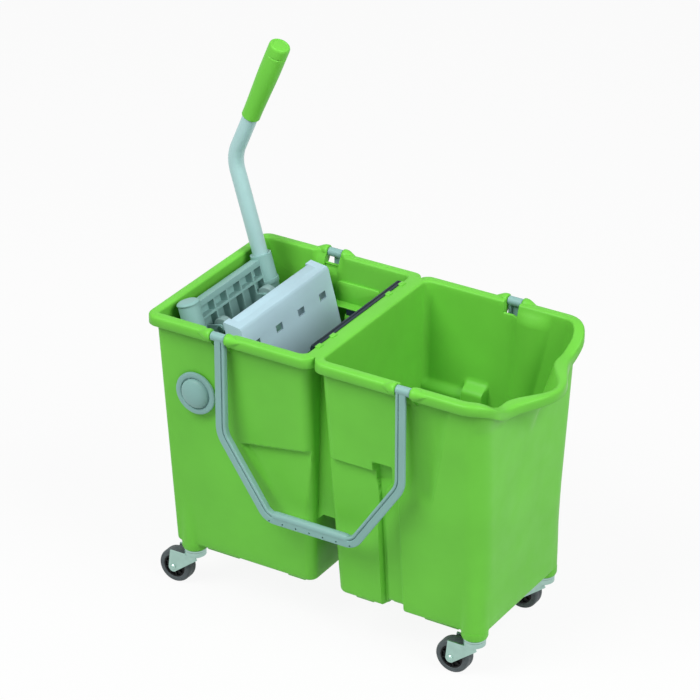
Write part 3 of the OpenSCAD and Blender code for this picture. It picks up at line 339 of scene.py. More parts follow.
def finish_of(slot):
    """The material of one of the record's slots."""
    c = bpy.context.scene.trolley_finishes
    makers = {
        "green_plastic": lambda: moulded("Moulded polypropylene, lime green", c.green, 0.42, coat=0.04),
        "grey_plastic": lambda: moulded("Moulded polypropylene, pale grey", c.grey, 0.38, tint=0.04),
        "plate_plastic": lambda: moulded("Moulded polypropylene, blue grey", c.plate, 0.36),
        "dark_plastic": lambda: moulded("Moulded nylon, slate", c.slate, 0.45, tint=0.12),
        "roller_plastic": lambda: moulded("Moulded acetal, mid grey", c.roller, 0.35, tint=0.06),
        "black_plastic": lambda: moulded("Moulded nylon, black", c.black, 0.42, tint=0.2, grain=1.0),
        # An even pale coat with a faint orange-peel ripple 3 mm across
        "grey_paint": lambda: surface(
            "Powder-coated steel tube, pale grey", c.paint,
            {"IOR": 1.5, "Coat Weight": 0.25, "Coat Roughness": 0.2},
            0.04, 60, (20, 3, 0.32, 0.42), 3.0, 0.12
        ),
        # A grey metal with cloudy patches and fine drawing marks
        "zinc_steel": lambda: surface(
            "Zinc-plated pressed steel", c.zinc, {"Metallic": 1.0}, 0.06, 12, (8, 3, 0.28, 0.40), 1.2, 0.05
        ),
        # Matt, with dusty scuffs that lighten it in patches 7 mm across
        "grey_rubber": lambda: surface(
            "Thermoplastic rubber, grey", c.tyre, {"IOR": 1.52, "Sheen Weight": 0.1},
            0.18, 7, (5, 4, 0.55, 0.75), 0.9, 0.2
        ),
    }
    return makers[slot]()


# Meshes

class Shell:
    """Closed surfaces gathered into one mesh, in millimetres from the seam, the middle and the floor."""

    def __init__(self):
        self.points = []
        self.faces = []

    def add(self, points, faces):
        first = len(self.points)
        self.points.extend(tuple(map(float, p)) for p in points)
        self.faces.extend(tuple(first + i for i in face) for face in faces)

    def grid(self, rows, capped=True):
        """Rings of equal length joined into a tube, which caps close at both ends."""
        count, n = len(rows), len(rows[0])
        faces = [
            (k * n + i, k * n + (i + 1) % n, (k + 1) * n + (i + 1) % n, (k + 1) * n + i)
            for k in range(count - 1) for i in range(n)
        ]
        if capped:
            faces += [tuple(reversed(range(n))), tuple(range((count - 1) * n, count * n))]
        self.add(np.concatenate(rows), faces)

    def lathe(self, profile, centre, axis, steps, capped=True):
        """A profile of (radius, distance along the axis) turned about an axis through the centre."""
        turn = Vector((0, 0, 1)).rotation_difference(Vector(axis)).to_matrix()
        angles = [2 * math.pi * i / steps for i in range(steps)]
        rows = []
        for radius, along in profile:
            r = max(radius, 0.01)
            ring = [turn @ Vector((r * math.cos(a), r * math.sin(a), along)) for a in angles]
            rows.append(np.array(ring) + np.array(centre))
        self.grid(rows, capped)

    def slab(self, outline, place, thick, edge):
        """An outline in a plane, thickened to both sides with rounded edges; place maps to space."""
        step = edge / thick
        layers = [(-1, edge), (-1 + step, 0.3 * edge), (-1 + 2 * step, 0)]
        layers += [(-side, inset) for side, inset in reversed(layers)]
        self.grid([
            np.array([place(u, v, side * thick / 2) for u, v in shrunk(outline, inset)])
            for side, inset in layers
        ])

    def block(self, low, high, edge):
        """A box with rounded edges."""
        bm = bmesh.new()
        bmesh.ops.create_cube(bm, size=1)
        for v in bm.verts:
            v.co = Vector((a + b) / 2 + c * (b - a) for a, b, c in zip(low, high, v.co))
        bmesh.ops.bevel(bm, geom=bm.edges[:], offset=edge, segments=3, profile=0.5, affect="EDGES")
        bm.verts.index_update()
        self.add([v.co[:] for v in bm.verts], [[v.index for v in f.verts] for f in bm.faces])
        bm.free()


def shrunk(outline, inset):
    """A convex outline moved inwards."""
    n = len(outline)
    pts = [Vector(p) for p in outline]
    area = sum(pts[i].x * pts[(i + 1) % n].y - pts[(i + 1) % n].x * pts[i].y for i in range(n))
    sign = 1 if area > 0 else -1
    out = []
    for i in range(n):
        before = (pts[i] - pts[i - 1]).normalized()
        after = (pts[(i + 1) % n] - pts[i]).normalized()
        n0, n1 = (Vector((-way.y, way.x)) * sign for way in (before, after))
        bisect = n0 + n1
        out.append(pts[i] + bisect * (inset / max(bisect.dot(n0), 0.2)))
    return out


def rounded(corners, radii, steps=8):
    """An open path through corners with round bends."""
    path = [Vector(corners[0])]
    for i in range(1, len(corners) - 1):
        p, before, after = Vector(corners[i]), Vector(corners[i - 1]), Vector(corners[i + 1])
        into, away = (p - before).normalized(), (after - p).normalized()
        turn = into.angle(away)
        cut = radii[i] * math.tan(turn / 2)
        start, end = p - into * cut, p + away * cut
        pull = (4 / 3) * math.tan(turn / 4) * radii[i]
        for k in range(steps + 1):
            t = k / steps
            path.append(
                start * (1 - t) ** 3 + (start + into * pull) * 3 * t * (1 - t) ** 2
                + (end - away * pull) * 3 * t * t * (1 - t) + end * t ** 3
            )
    path.append(Vector(corners[-1]))
    return path


@contextmanager
def edited(mesh, sources):
    """The sources as one open mesh, which becomes the given mesh after the edit."""
    bm = bmesh.new()
    for source in sources:
        bm.from_mesh(source)
    yield bm
    bm.to_mesh(mesh)
    bm.free()


def to_mesh(shell, name):
    """The shell's mesh in metres in the shared frame, closed and with its faces outwards."""
    mesh = bpy.data.meshes.new(name)
    place = np.array(shell.points) * MM + np.array([SEAM_X, 0, 0])
    mesh.from_pydata(place.tolist(), [], shell.faces)
    with edited(mesh, [mesh]) as bm:
        bmesh.ops.remove_doubles(bm, verts=bm.verts[:], dist=MERGE)
        bmesh.ops.dissolve_degenerate(bm, edges=bm.edges[:], dist=MERGE / 2)
        bmesh.ops.recalc_face_normals(bm, faces=bm.faces[:])
    return mesh


def joined(meshes, name):
    """Several meshes as one, merged and with their faces outwards."""
    mesh = bpy.data.meshes.new(name)
    with edited(mesh, meshes) as bm:
        bmesh.ops.remove_doubles(bm, verts=bm.verts[:], dist=MERGE / 4)
        bmesh.ops.recalc_face_normals(bm, faces=bm.faces[:])
    return mesh


def softened(node, edge, name):
    """A merged copy of a CAD node's mesh with its sharp edges rounded."""
    flat, sharp = math.radians(0.6), math.radians(28)
    mesh = bpy.data.meshes.new(name)
    with edited(mesh, [NODES[node].data]) as bm:
        bmesh.ops.remove_doubles(bm, verts=bm.verts[:], dist=MERGE)
        bmesh.ops.dissolve_limit(
            bm, angle_limit=flat, verts=bm.verts[:], edges=bm.edges[:], use_dissolve_boundaries=False
        )
        edges = [e for e in bm.edges if len(e.link_faces) == 2 and e.calc_face_angle(0) > sharp]
        bmesh.ops.bevel(
            bm, geom=edges, offset=edge * MM, segments=2, profile=0.6, affect="EDGES", clamp_overlap=True
        )
    return mesh


def linked(name, data):
    """A new object in the scene."""
    made = bpy.data.objects.new(name, data)
    bpy.context.scene.collection.objects.link(made)
    return made


def piece(mesh, name, node, degrees=40):
    """A finished piece that stands for a CAD node, on the node's body and in its slot, with smooth
    faces and edges sharper than an angle kept crisp."""
    limit = math.radians(degrees)
    with edited(mesh, [mesh]) as bm:
        for face in bm.faces:
            face.smooth = True
        for edge in bm.edges:
            edge.smooth = len(edge.link_faces) != 2 or edge.calc_face_angle(0) < limit
    mesh.materials.clear()
    mesh.materials.append(finish_of(SLOTS[node]))
    made = linked(name, mesh)
    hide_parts(node)
    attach(made, BODIES[node])


def changed(made, modifier, *helpers):
    """The plain mesh that a modifier makes of an object, which is removed with its helpers."""
    bpy.context.view_layer.update()
    view = bpy.context.evaluated_depsgraph_get()
    result = bpy.data.meshes.new_from_object(made.evaluated_get(view))
    made.modifiers.remove(modifier)
    for item in (made, *helpers):
        bpy.data.objects.remove(item)
    return result


def cut_by(mesh, shell):
    """The mesh with the shapes of a shell cut out of it."""
    whole, cutter = linked("whole", mesh), linked("cutter", to_mesh(shell, "cutter"))
    cut = whole.modifiers.new("cut", "BOOLEAN")
    cut.object = cutter
    cut.operation = "DIFFERENCE"
    cut.solver = "EXACT"
    return changed(whole, cut, cutter)


def by_nodes(name, build, inputs, mesh, slot, values):
    """The plain mesh that a node tree makes of a mesh. The tree is made once, with named inputs: build
    turns them into geometry, which is made real and gets its material."""
    tree = bpy.data.node_groups.get(name)
    if not tree:
        tree = bpy.data.node_groups.new(name, "GeometryNodeTree")
        for label, kind in {"Geometry": "Geometry", **inputs, "Material": "Material"}.items():
            tree.interface.new_socket(label, in_out="INPUT", socket_type="NodeSocket" + kind)
        tree.interface.new_socket("Geometry", in_out="OUTPUT", socket_type="NodeSocketGeometry")
        given = add(tree, "NodeGroupInput").outputs
        real = add(tree, "GeometryNodeRealizeInstances", {"Geometry": build(tree, given)})
        dressed = add(tree, "GeometryNodeSetMaterial", {
            "Geometry": real.outputs["Geometry"], "Material": given["Material"],
        })
        add(tree, "NodeGroupOutput", {"Geometry": dressed.outputs["Geometry"]})
    carrier = linked("carrier", mesh)
    modifier = carrier.modifiers.new("nodes", "NODES")
    modifier.node_group = tree
    values = {**values, "Material": finish_of(slot)}
    for item in tree.interface.items_tree:
        if item.in_out == "INPUT" and item.name in values:
            modifier[item.identifier] = values[item.name]
    return changed(carrier, modifier)


def bar(tree, given):
    """Geometry nodes that sweep a rounded bar along a path."""
    path = add(tree, "GeometryNodeMeshToCurve", {"Mesh": given["Geometry"]})
    section = add(tree, "GeometryNodeCurvePrimitiveQuadrilateral", {
        "Width": given["Width"], "Height": given["Height"],
    })
    eased = add(tree, "GeometryNodeFilletCurve", {
        "Curve": section.outputs["Curve"], "Radius": given["Corner"], "Count": 6,
    }, mode="POLY")
    return add(tree, "GeometryNodeCurveToMesh", {
        "Curve": path.outputs["Curve"], "Profile Curve": eased.outputs["Curve"], "Fill Caps": True,
    }).outputs["Mesh"]


def ring_of_ribs(tree, given):
    """Geometry nodes that set copies of a rib in a ring round an axis along Y."""
    points = add(tree, "GeometryNodeMeshCircle", {"Vertices": given["Count"], "Radius": given["Radius"]})
    rib = add(tree, "GeometryNodeMeshCube", {
        "Size": given["Size"], "Vertices X": 3, "Vertices Y": 3, "Vertices Z": 3,
    })
    spot = add(tree, "GeometryNodeInputPosition")
    heading = add(tree, "FunctionNodeAlignRotationToVector", {"Vector": spot.outputs["Position"]}, axis="X")
    copies = add(tree, "GeometryNodeInstanceOnPoints", {
        "Points": points.outputs["Mesh"], "Instance": rib.outputs["Mesh"],
        "Rotation": heading.outputs["Rotation"],
    })
    return add(tree, "GeometryNodeTransform", {
        "Geometry": copies.outputs["Instances"], "Translation": given["Centre"],
        "Rotation": (math.pi / 2, 0, 0),
    }).outputs["Geometry"]


def swept(points, width, height, corner, slot):
    """A rounded bar along a path of points in millimetres from the seam."""
    path = bpy.data.meshes.new("path")
    spots = [(p[0] * MM + SEAM_X, p[1] * MM, p[2] * MM) for p in points]
    path.from_pydata(spots, [(i, i + 1) for i in range(len(spots) - 1)], [])
    values = {"Width": width * MM, "Height": height * MM, "Corner": corner * MM}
    return by_nodes("Rounded bar along a path", bar, dict.fromkeys(values, "Float"), path, slot, values)


# The tub

def smooth(t):
    c = np.clip(t, 0.0, 1.0)
    return c * c * (3 - 2 * c)


def inside(value, low, high, soft):
    """1 between two limits and 0 outside them, with soft edges."""
    return smooth((value - low) / soft + 0.5) * smooth((high - value) / soft + 0.5)


def quarter(steps, first=0, last=90):
    """Pairs of 1 - sine and 1 - cosine in steps through a quarter turn, which round an edge."""
    return [(1 - math.sin(a), 1 - math.cos(a)) for a in np.radians(np.linspace(first, last, steps))]


FRONT, END_ARC, END, SEAM_ARC, SEAM = range(5)


class Bucket:
    """Outline and reliefs of one bucket; u is counted from the seam towards the bucket's end."""

    def __init__(self, t, spout):
        self.t = t
        self.spout = spout
        self.end_r = t.end_r if spout else t.far_r
        self.taper = t.spout_taper if spout else t.end_taper
        self.seam_0 = t.seam_gap / 2 + (-t.seam_shift if spout else t.seam_shift)
        self.columns()

    def columns(self):
        """The upright lines of the surface, closest together where the reliefs are."""
        t = self.t
        low, high = t.notch_x - t.notch_l / 2, t.notch_x + t.notch_l / 2
        # Distances from the seam in millimetres: close together at the recess or groove, and at the notch
        near = np.arange(36, 132, 2.2)
        if self.spout:
            near = np.concatenate([np.arange(36, 82, 4.6), np.arange(82, 130, 1.5)])
        notch = [low - 0.1, low + 0.1, *np.linspace(low + 4, high - 4, 4), high - 0.1, high + 0.1]
        far_end = t.length / 2 - t.rim_out - self.taper - self.end_r - 1
        u = np.concatenate([near[near < low - 1.5], notch, np.linspace(high + 3, far_end, 30)])
        arc = np.linspace(0, 90, 10)
        end = np.linspace(-1, 1, 37 if self.spout else 7)[1:-1]
        seam = np.linspace(1, -1, 7)[1:-1]
        parts = [
            (FRONT, u, -1), (END_ARC, arc - 90, -1), (END, end, 0), (END_ARC, arc, 1),
            (FRONT, u[::-1], 1), (SEAM_ARC, arc + 90, 1), (SEAM, seam, 0), (SEAM_ARC, arc + 180, -1),
        ]
        self.kind = np.concatenate([np.full(len(v), k) for k, v, s in parts])
        self.value = np.concatenate([v for k, v, s in parts])
        self.side = np.concatenate([np.full(len(v), s) for k, v, s in parts])
        wall = self.kind == FRONT
        self.notched = wall & (self.value > low) & (self.value < high)
        rim_r = self.end_r + t.rim_out
        u, y = self.outline(0.0, t.length / 2, t.width / 2, t.rim_seam_r, rim_r, lambda across: 0)
        corner = t.length / 2 - self.end_r - 2 * t.rim_out
        dip = 1 - smooth((np.abs(y) - t.lip_half) / (t.width / 2 - t.lip_half))
        dip = t.spout_dip * dip * smooth((u - corner) / self.end_r) * self.spout
        self.drop = np.where(self.notched, t.rim_z - t.notch_z, dip)
        self.scoop = t.scoop * inside(self.value, low - 6, high + 14, 9) * wall * (not self.spout)

    def lean(self, z):
        return (self.t.rim_z - z) / (self.t.rim_z - self.t.floor_z)

    def half(self, z):
        return self.t.width / 2 - self.t.rim_out - self.t.side_taper * self.lean(z)

    def swell(self, y, z, reach, narrow=0.8):
        """How far the spout stands out beyond the end wall; its fairing narrows downwards."""
        t = self.t
        rise = np.clip((z - t.rim_z + t.spout_h) / (t.spout_h - t.spout_dip), 0, 1)
        half = t.spout_half * narrow * np.maximum(rise, 0.1)
        bulge = np.cos(np.pi / 2 * np.clip(y / half, -1, 1)) ** 2
        return reach * rise * rise * bulge * self.spout

    def outline(self, x0, x1, half, r0, r1, swell):
        """Place of every column on a rounded rectangle."""
        a = np.radians(self.value)
        kinds = [self.kind == k for k in (FRONT, END_ARC, END, SEAM_ARC, SEAM)]
        y_end = self.value * (half - r1)
        u = np.select(kinds, [
            np.clip(self.value, x0 + r0, x1 - r1), x1 - r1 + r1 * np.cos(a), x1 + swell(y_end),
            x0 + r0 + r0 * np.cos(a), x0,
        ])
        y = np.select(kinds, [
            self.side * half, self.side * (half - r1) + r1 * np.sin(a), y_end,
            self.side * (half - r0) + r0 * np.sin(a), self.value * (half - r0),
        ])
        return u, y

    def wall(self, z, inset, grown=0.0, flared=True):
        """The wall's surface at a height, sunk by the reliefs; grown widens them for the inside."""
        t = self.t
        z = z + np.zeros(len(self.kind))
        flare = smooth((z - t.rim_z + t.flare_h) / (t.flare_h - t.rim_h)) * self.spout * flared
        flare = 0.9 * t.rim_out * flare
        reach = t.spout_reach + t.rim_out - flare - t.wall_t * (not flared)
        u, y = self.outline(
            self.seam_0 + t.seam_taper * self.lean(z) + inset,
            t.length / 2 - t.rim_out - self.taper * self.lean(z) + flare - inset,
            self.half(z) - inset, np.maximum(t.seam_r - inset, 2), np.maximum(self.end_r - inset, 2),
            lambda across: self.swell(across, z, reach),
        )
        sunk = self.relief(u, np.abs(y), z, grown, inset)
        y = y - np.sign(y) * sunk * np.isin(self.kind, (FRONT, SEAM_ARC))
        if flared and np.max(inset) <= t.floor_edge:
            u, y = self.bossed(u, y)
        return self.place(u, y, z)

    def bossed(self, u, y):
        """The wall pushed out round the caster bosses, which run out where it leans past them."""
        t = self.t
        du, dy = u - t.caster_x, np.abs(y) - t.caster_y
        near = np.hypot(du, dy)
        blend = np.maximum(0, 1 - np.abs(near - t.boss_r) / 3)
        grow = (np.maximum(near, t.boss_r) + 0.75 * blend ** 2) / np.maximum(near, 1)
        grow = np.where(near < t.boss_r + 3, grow, 1)
        return t.caster_x + du * grow, np.sign(y) * (t.caster_y + dy * grow)

    def rim(self, z, inset):
        """The rim's outside at a height; above its skirt it meets the other bucket's rim at the seam."""
        t = self.t
        u, y = self.outline(
            inset * (z < t.rim_z - t.rim_h / 2), t.length / 2 - inset, t.width / 2 - inset,
            np.maximum(t.rim_seam_r - inset, 1), self.end_r + t.rim_out - inset,
            lambda across: self.swell(across, t.rim_z - t.spout_dip, t.spout_reach, 1.0),
        )
        return self.place(u, y, z)

    def place(self, u, y, z):
        return np.stack([u if self.spout else -u, y, z + np.zeros(len(u))], axis=1)

    def relief(self, u, y, z, grown, inset):
        """How far the long walls are sunk, under the ledges and in the groove, strip, pocket and flute."""
        t = self.t
        soft = 4.0 + grown * 2.5
        flat = np.maximum(0, y - (self.half(t.recess_z) - inset))
        if not self.spout:
            top = t.ledge_z - t.ledge_drop * np.clip(u / t.recess_top, 0, 1) + grown
            edge = t.recess_foot + (t.recess_top - t.recess_foot) * (z - t.recess_z) / (
                t.ledge_z - t.ledge_drop - t.recess_z)
            return flat * smooth((top - z) / soft + 0.5) * smooth((edge + grown - u) / 7 + 0.5)
        panel = flat * inside(u, -50, t.groove_x + grown, soft)
        panel = panel * smooth((t.ledge_z + grown - z) / soft + 0.5)
        foot = t.ledge_z - t.pocket / 2
        below = smooth((foot + 2 - z) / 2 + 0.5)
        funnel = np.clip((z - foot + t.pocket) / t.pocket, 0, 1) ** 2
        left = t.groove_x - t.groove_w / 2 * funnel
        right = t.groove_x + t.groove_w + (t.pocket - 1.5 * t.groove_w) * funnel
        groove = (t.groove_d + (t.pocket_d - t.groove_d) * funnel) * below
        groove = groove * inside(u, left - grown, right + grown, 2.4)
        strip_0, pocket_0 = t.groove_x + t.groove_w / 2, t.groove_x - t.groove_w / 2
        strip = t.strip_d * inside(u, strip_0, strip_0 + t.strip_w + grown, 3.0) * below
        pocket = t.pocket_d * inside(u, pocket_0 - grown, pocket_0 + t.pocket + grown, 3.0)
        pocket = pocket * inside(z, foot - grown, foot + t.pocket + grown, 3.0 + 3 * grown)
        up = np.clip((z - t.flute_z) / (t.rim_z - t.rim_h - t.flute_z), 0, 1)
        middle = t.flute_x - t.flute_foot * (1 - up)
        radius = t.flute_foot + (t.flute_r - t.flute_foot) * up + grown
        depth = t.flute_d * (0.6 + 0.4 * up)
        bowl = np.sqrt(np.maximum(0, radius ** 2 - (u - middle) ** 2)) - (radius - depth)
        flute = np.maximum(0, bowl) * smooth((z - t.flute_z + 6) / 28) * smooth((t.rim_z - 6 - z) / 10)
        return np.maximum.reduce([panel, groove, strip, pocket, flute])

    def squeezed(self, z):
        """A height under the rim at every column, moved down where the rim's upper edge is lower."""
        t = self.t
        start = t.rim_z - t.spout_h
        span = t.rim_z - t.rim_h - start
        return np.where(z > start, start + (z - start) * (span - self.drop) / span, z)

    def rings(self):
        """The surface from the underside of the floor over the rim to the floor inside."""
        t = self.t
        low, edge, floor = t.rim_z - t.rim_h, t.floor_edge, t.floor_z + t.floor_t
        strip = t.groove_x + t.groove_w / 2
        arch = t.strip_arch * inside(self.value, strip, strip + t.strip_w, 3)
        arch = arch * (self.kind == FRONT) * self.spout
        rows = [self.wall(t.floor_z, edge + 30), self.wall(t.floor_z + arch, edge + 16)]
        rows += [self.wall(t.floor_z + edge * up + arch, edge * out) for out, up in quarter(5)]
        # Rows in millimetres, outside and then inside: closest together across the ledges
        heights = np.concatenate([
            np.linspace(t.floor_z + edge + 14, t.recess_z, 10), np.arange(t.recess_z + 6, 258, 6),
            np.arange(258, 308, 2.0), np.arange(308, low, 5.5), [low],
        ])
        rows += [self.wall(self.squeezed(z), 0) for z in heights]
        rows += self.rim_rings()
        heights = np.concatenate([
            np.arange(t.rim_z - 10, 312, -8.0), np.arange(312, 258, -3.0), np.arange(256, t.recess_z, -9.0),
            np.linspace(t.recess_z, floor + edge, 10),
        ])
        rows += [self.inner(self.squeezed(z), t.wall_t) for z in heights]
        rows += [self.inner(floor + edge * up, t.wall_t + edge * inward) for up, inward in quarter(5)[1:]]
        rows.append(self.inner(floor, t.wall_t + 34))
        return rows

    def inner(self, z, inset, scooped=False):
        """The inside of the wall; the scoop beside the wringer's bail notches fades below the rim."""
        t = self.t
        points = self.wall(z, inset, grown=t.wall_t, flared=False)
        fade = 1 if scooped else smooth((z - t.rim_z + t.rim_h + 3) / t.rim_h)
        points[:, 1] += np.sign(points[:, 1]) * self.scoop * fade
        return points

    def rim_rings(self):
        """The rolled rim: under the skirt, up its outside, over the top and to the inside of the wall."""
        t = self.t
        low = t.rim_z - t.rim_h
        outer_0 = self.rim(t.rim_z, 0)
        inner_0 = self.inner(t.rim_z - self.drop, t.wall_t)
        under = self.wall(low + 3 - self.drop, 0)
        thick, over = (np.linalg.norm((outer_0 - other)[:, :2], axis=1) for other in (inner_0, under))
        thick = np.where(self.notched, t.wall_t, thick)
        edge = np.minimum(t.rim_edge, 0.48 * thick) * np.where(self.kind == SEAM, 0.02, 1)
        soft = np.minimum(3.2, 0.48 * thick)

        def ring(z, inset):
            """A ring of the skirt, which lies on the wall in a notch."""
            shown = self.rim(z - self.drop, np.minimum(inset, np.maximum(over - 0.1, 0.05)))
            sunk = self.wall(z - self.drop, np.minimum(inset, 1.5))
            return np.where(self.notched[:, None], sunk, shown)

        skirt = [(3, t.rim_t), (0.8, t.rim_t), (0, t.rim_t - 0.8), (0, 0.8), (0.8, 0.0)]
        rows = [under] + [ring(low + rise, inset) for rise, inset in skirt]
        rows += [ring(t.rim_z - edge * down, edge * inward) for down, inward in quarter(6)]
        top = t.rim_z - self.drop
        rows += [
            self.inner(top - soft * down, t.wall_t - soft * out, True) for down, out in quarter(5, 90, 0)
        ]
        return rows


def knob_profile(t, way):
    """A rounded knob beside a bail notch that runs out along the rim."""
    r, run = t.knob_r, t.knob_l
    shape = [(0, 0), (r - 1.6, 0), (r - 0.5, 0.5), (r, 1.6), (r, run * 0.35)]
    shape += [(r + (1.2 - r) * smooth(k / 9), run * (0.35 + 1.9 * k / 9)) for k in range(1, 10)]
    shape.append((0, run * 2.27))
    return [(radius, way * (t.notch_l / 2 + along)) for radius, along in shape]


def tub_fittings(shell, t):
    """Knobs, webs, caster bosses, stem sockets, pads, hoods, rests, bumps and feet of the tub's moulding."""
    spout, wringer = Bucket(t, True), Bucket(t, False)
    top, socket, stem = t.floor_z + t.floor_t / 2, t.boss_z + t.stem_l + 8, t.stem_r
    boss = [
        (0, t.boss_z), (t.boss_r - 4, t.boss_z), (t.boss_r - 1.2, t.boss_z + 1.2), (t.boss_r, t.boss_z + 4),
        (t.boss_r, top), (0, top),
    ]
    cup = [
        (0, top - 1), (stem + 6, top - 1), (stem + 5, socket - 4), (stem + 3.8, socket - 1.2),
        (stem + 1, socket), (0, socket),
    ]
    # The pads reach out to the wall's widest place behind the pivot caps, at their upper edge
    out = wringer.half(t.pivot_z + 31) + 0.4
    pad = [(0, out - 20), (t.pad_r, out - 20), (t.pad_r, out - 0.8), (t.pad_r - 0.8, out), (0, out)]
    high = t.rim_z - 2
    left, right = (
        [bucket.seam_0 + t.seam_taper * bucket.lean(z) + 2 for z in (high, t.web_z)]
        for bucket in (wringer, spout)
    )
    web = [
        (-left[0], high), (-left[1], t.web_z), (-left[1] / 2, t.web_z + 10),
        (right[1] / 2, t.web_z + 10), (right[1], t.web_z), (right[0], high),
    ]
    web_y = spout.half(t.web_z) - t.web_in
    foot_y = spout.half(t.floor_z) - t.floor_edge - 3
    hood_0, hood_1, hood_top = -t.hood_x - t.hood_w, -t.hood_x, t.hood_z + t.hood_h
    hood = rounded([
        (hood_0, t.hood_z), (hood_0, hood_top), (hood_1, hood_top), (hood_1, t.hood_z),
    ], [0, 10, 5, 0], 5)
    lean = math.cos(math.atan2(t.side_taper, t.rim_z - t.floor_z))
    # Limits in X and Z of the shelf under each hood and of the rest below it
    carriers = (
        (hood_0, hood_1, t.rest_z + 8.4, t.rest_z + 10.6),
        (-t.rest_x - t.rest_w, -t.rest_x, t.rest_z - t.rest_w, t.rest_z),
    )

    def box(side, x, y, z, edge):
        """A block between limits, of which those in Y are counted from the middle to one side."""
        near, far = sorted(side * v for v in y)
        shell.block((x[0], near, z[0]), (x[1], far, z[1]), edge)

    for side in (-1, 1):
        shell.slab(web, lambda u, v, w: (u, side * web_y + w, v), t.wall_t, 0.8)
        shell.lathe(pad, (-t.pivot_x, 0, t.pivot_z), (0, side, 0), 72)
        place = lambda u, v, w: (u, side * (wringer.half(v) - t.wall_t - 1.0 + w * lean), v)
        shell.slab([p[:] for p in hood], place, 4.0, 0.9)
        for x0, x1, z0, z1 in carriers:
            box(side, (x0, x1), (t.jaw_y - 0.2, wringer.half(z0) - 1), (z0, z1), 1)
        # Bumps on the rim beside the jaw's edge
        for y in (0.64 * t.jaw_y, 0.95 * t.jaw_y):
            x = (-t.jaw_edge - 2.5, -t.jaw_edge + 5)
            box(side, x, (y - 6, y + 6), (t.rim_z - 2.2, t.rim_z + 1.6), 1.3)
        for way in (-1, 1):
            caster = (way * t.caster_x, side * t.caster_y, 0)
            shell.lathe(boss, caster, (0, 0, 1), 64)
            shell.lathe(cup, caster, (0, 0, 1), 48)
            for knob in (knob_profile(t, -1), knob_profile(t, 1)):
                shell.lathe(knob, (way * t.notch_x, side * t.bail_y, t.bail_z), (1, 0, 0), 40)
            # Low feet under the floor, as parts of the way to the casters
            for start, end in ((0.18, 0.31), (0.66, 0.90)):
                x = sorted((way * start * t.caster_x, way * end * t.caster_x))
                box(side, x, (foot_y, foot_y - 12), (t.floor_z - 6, t.floor_z + 2), 1.8)


class TROLLEY_OT_tub(bpy.types.Operator):
    """Make the twin tub with its rolled rim, reliefs and spout"""

    bl_idname = "trolley.tub"
    bl_label = "Tub"

    def execute(self, context):
        t = sizes("tub")
        spout, wringer, fittings = Shell(), Shell(), Shell()
        spout.grid(Bucket(t, True).rings())
        wringer.grid(Bucket(t, False).rings())
        tub_fittings(fittings, t)
        piece(to_mesh(spout, "tub_spout_bucket"), "tub_spout_bucket", "tub", 48)
        piece(to_mesh(wringer, "tub_wringer_bucket"), "tub_wringer_bucket", "tub", 48)
        piece(to_mesh(fittings, "tub_fittings"), "tub_fittings", "tub")
        return {"FINISHED"}


# The wringer

# How far the edges of its pieces are rounded, in millimetres
SOFT_EDGES = {
    "wringer_jaw": 0.8, "press_plate": 1.0, "lever_block": 0.9, "pivot_shaft": 0.5, "plate_hinge_pin": 0.3,
    "socket_cap": 0.6, "roller_front": 0.6, "roller_rear": 0.6, "roller_pin_front": 0.3,
    "roller_pin_rear": 0.3,
}


class TROLLEY_OT_wringer(bpy.types.Operator):
    """Make the jaw, press plate, lever block, rollers and pins with softened edges"""

    bl_idname = "trolley.wringer"
    bl_label = "Wringer"

    def execute(self, context):
        w, t = sizes("wringer"), sizes("tub")
        # A frame at the press plate's hinge, its Z running up the plate, and the plate's half length
        place = Matrix.Translation((-w.hinge_x, 0, w.hinge_z)) @ Matrix.Rotation(-w.plate_lean, 4, "Y")
        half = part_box("press_plate")[1].y / MM
        for node, edge in SOFT_EDGES.items():
            name = node + "_moulded"
            mesh = softened(node, edge, name)
            if node == "press_plate":
                mesh = cut_by(mesh, self.windows(w, place, half))
                mesh = joined([mesh, to_mesh(self.fold(w, place, half - 13), name)], name)
            if node == "wringer_jaw":
                mesh = joined([mesh, to_mesh(self.flange(t), name)], name)
            piece(mesh, name, node)
        return {"FINISHED"}

    def fold(self, w, place, end):
        """The rear edge of the plate's folded top."""
        turn = Matrix.Translation((0.3, 0, w.plate_h + 1)) @ Matrix.Rotation(w.fold_rise, 4, "Y")
        corners = [(-10, -end), (-10, end), (-w.fold_w, end), (-w.fold_w, -end)]
        shell = Shell()
        shell.slab(corners, lambda u, v, d: place @ turn @ Vector((u, v, d - 1.2)), 2.7, 0.6)
        return shell

    def windows(self, w, place, half):
        """The wide drain holes through the press plate, in two rows."""
        shell = Shell()
        for i in (-1.5, -0.5, 0.5, 1.5):
            for part in (0.5, 0.83):
                y, z = i * half / 2, part * w.plate_h
                corners = [
                    (y + a * w.window_w / 2, z + b * w.window_h / 2)
                    for a, b in ((-1, -1), (1, -1), (1, 1), (-1, 1))
                ]
                shell.slab(corners, lambda u, v, d: place @ Vector((0.8 + d, u, v)), 7, 0.02)
        return shell

    def flange(self, t):
        """The edge of the jaw that lies on the rim, and its root."""
        shell = Shell()
        for x0, x1, z0, edge in ((-8.5, -3.7, -4, 0.5), (-6, 0, 0.05, 0.4)):
            shell.block(
                (x0 - t.jaw_edge, -t.jaw_y, t.rim_z + z0), (x1 - t.jaw_edge, t.jaw_y, t.rim_z + 1.2), edge
            )
        return shell


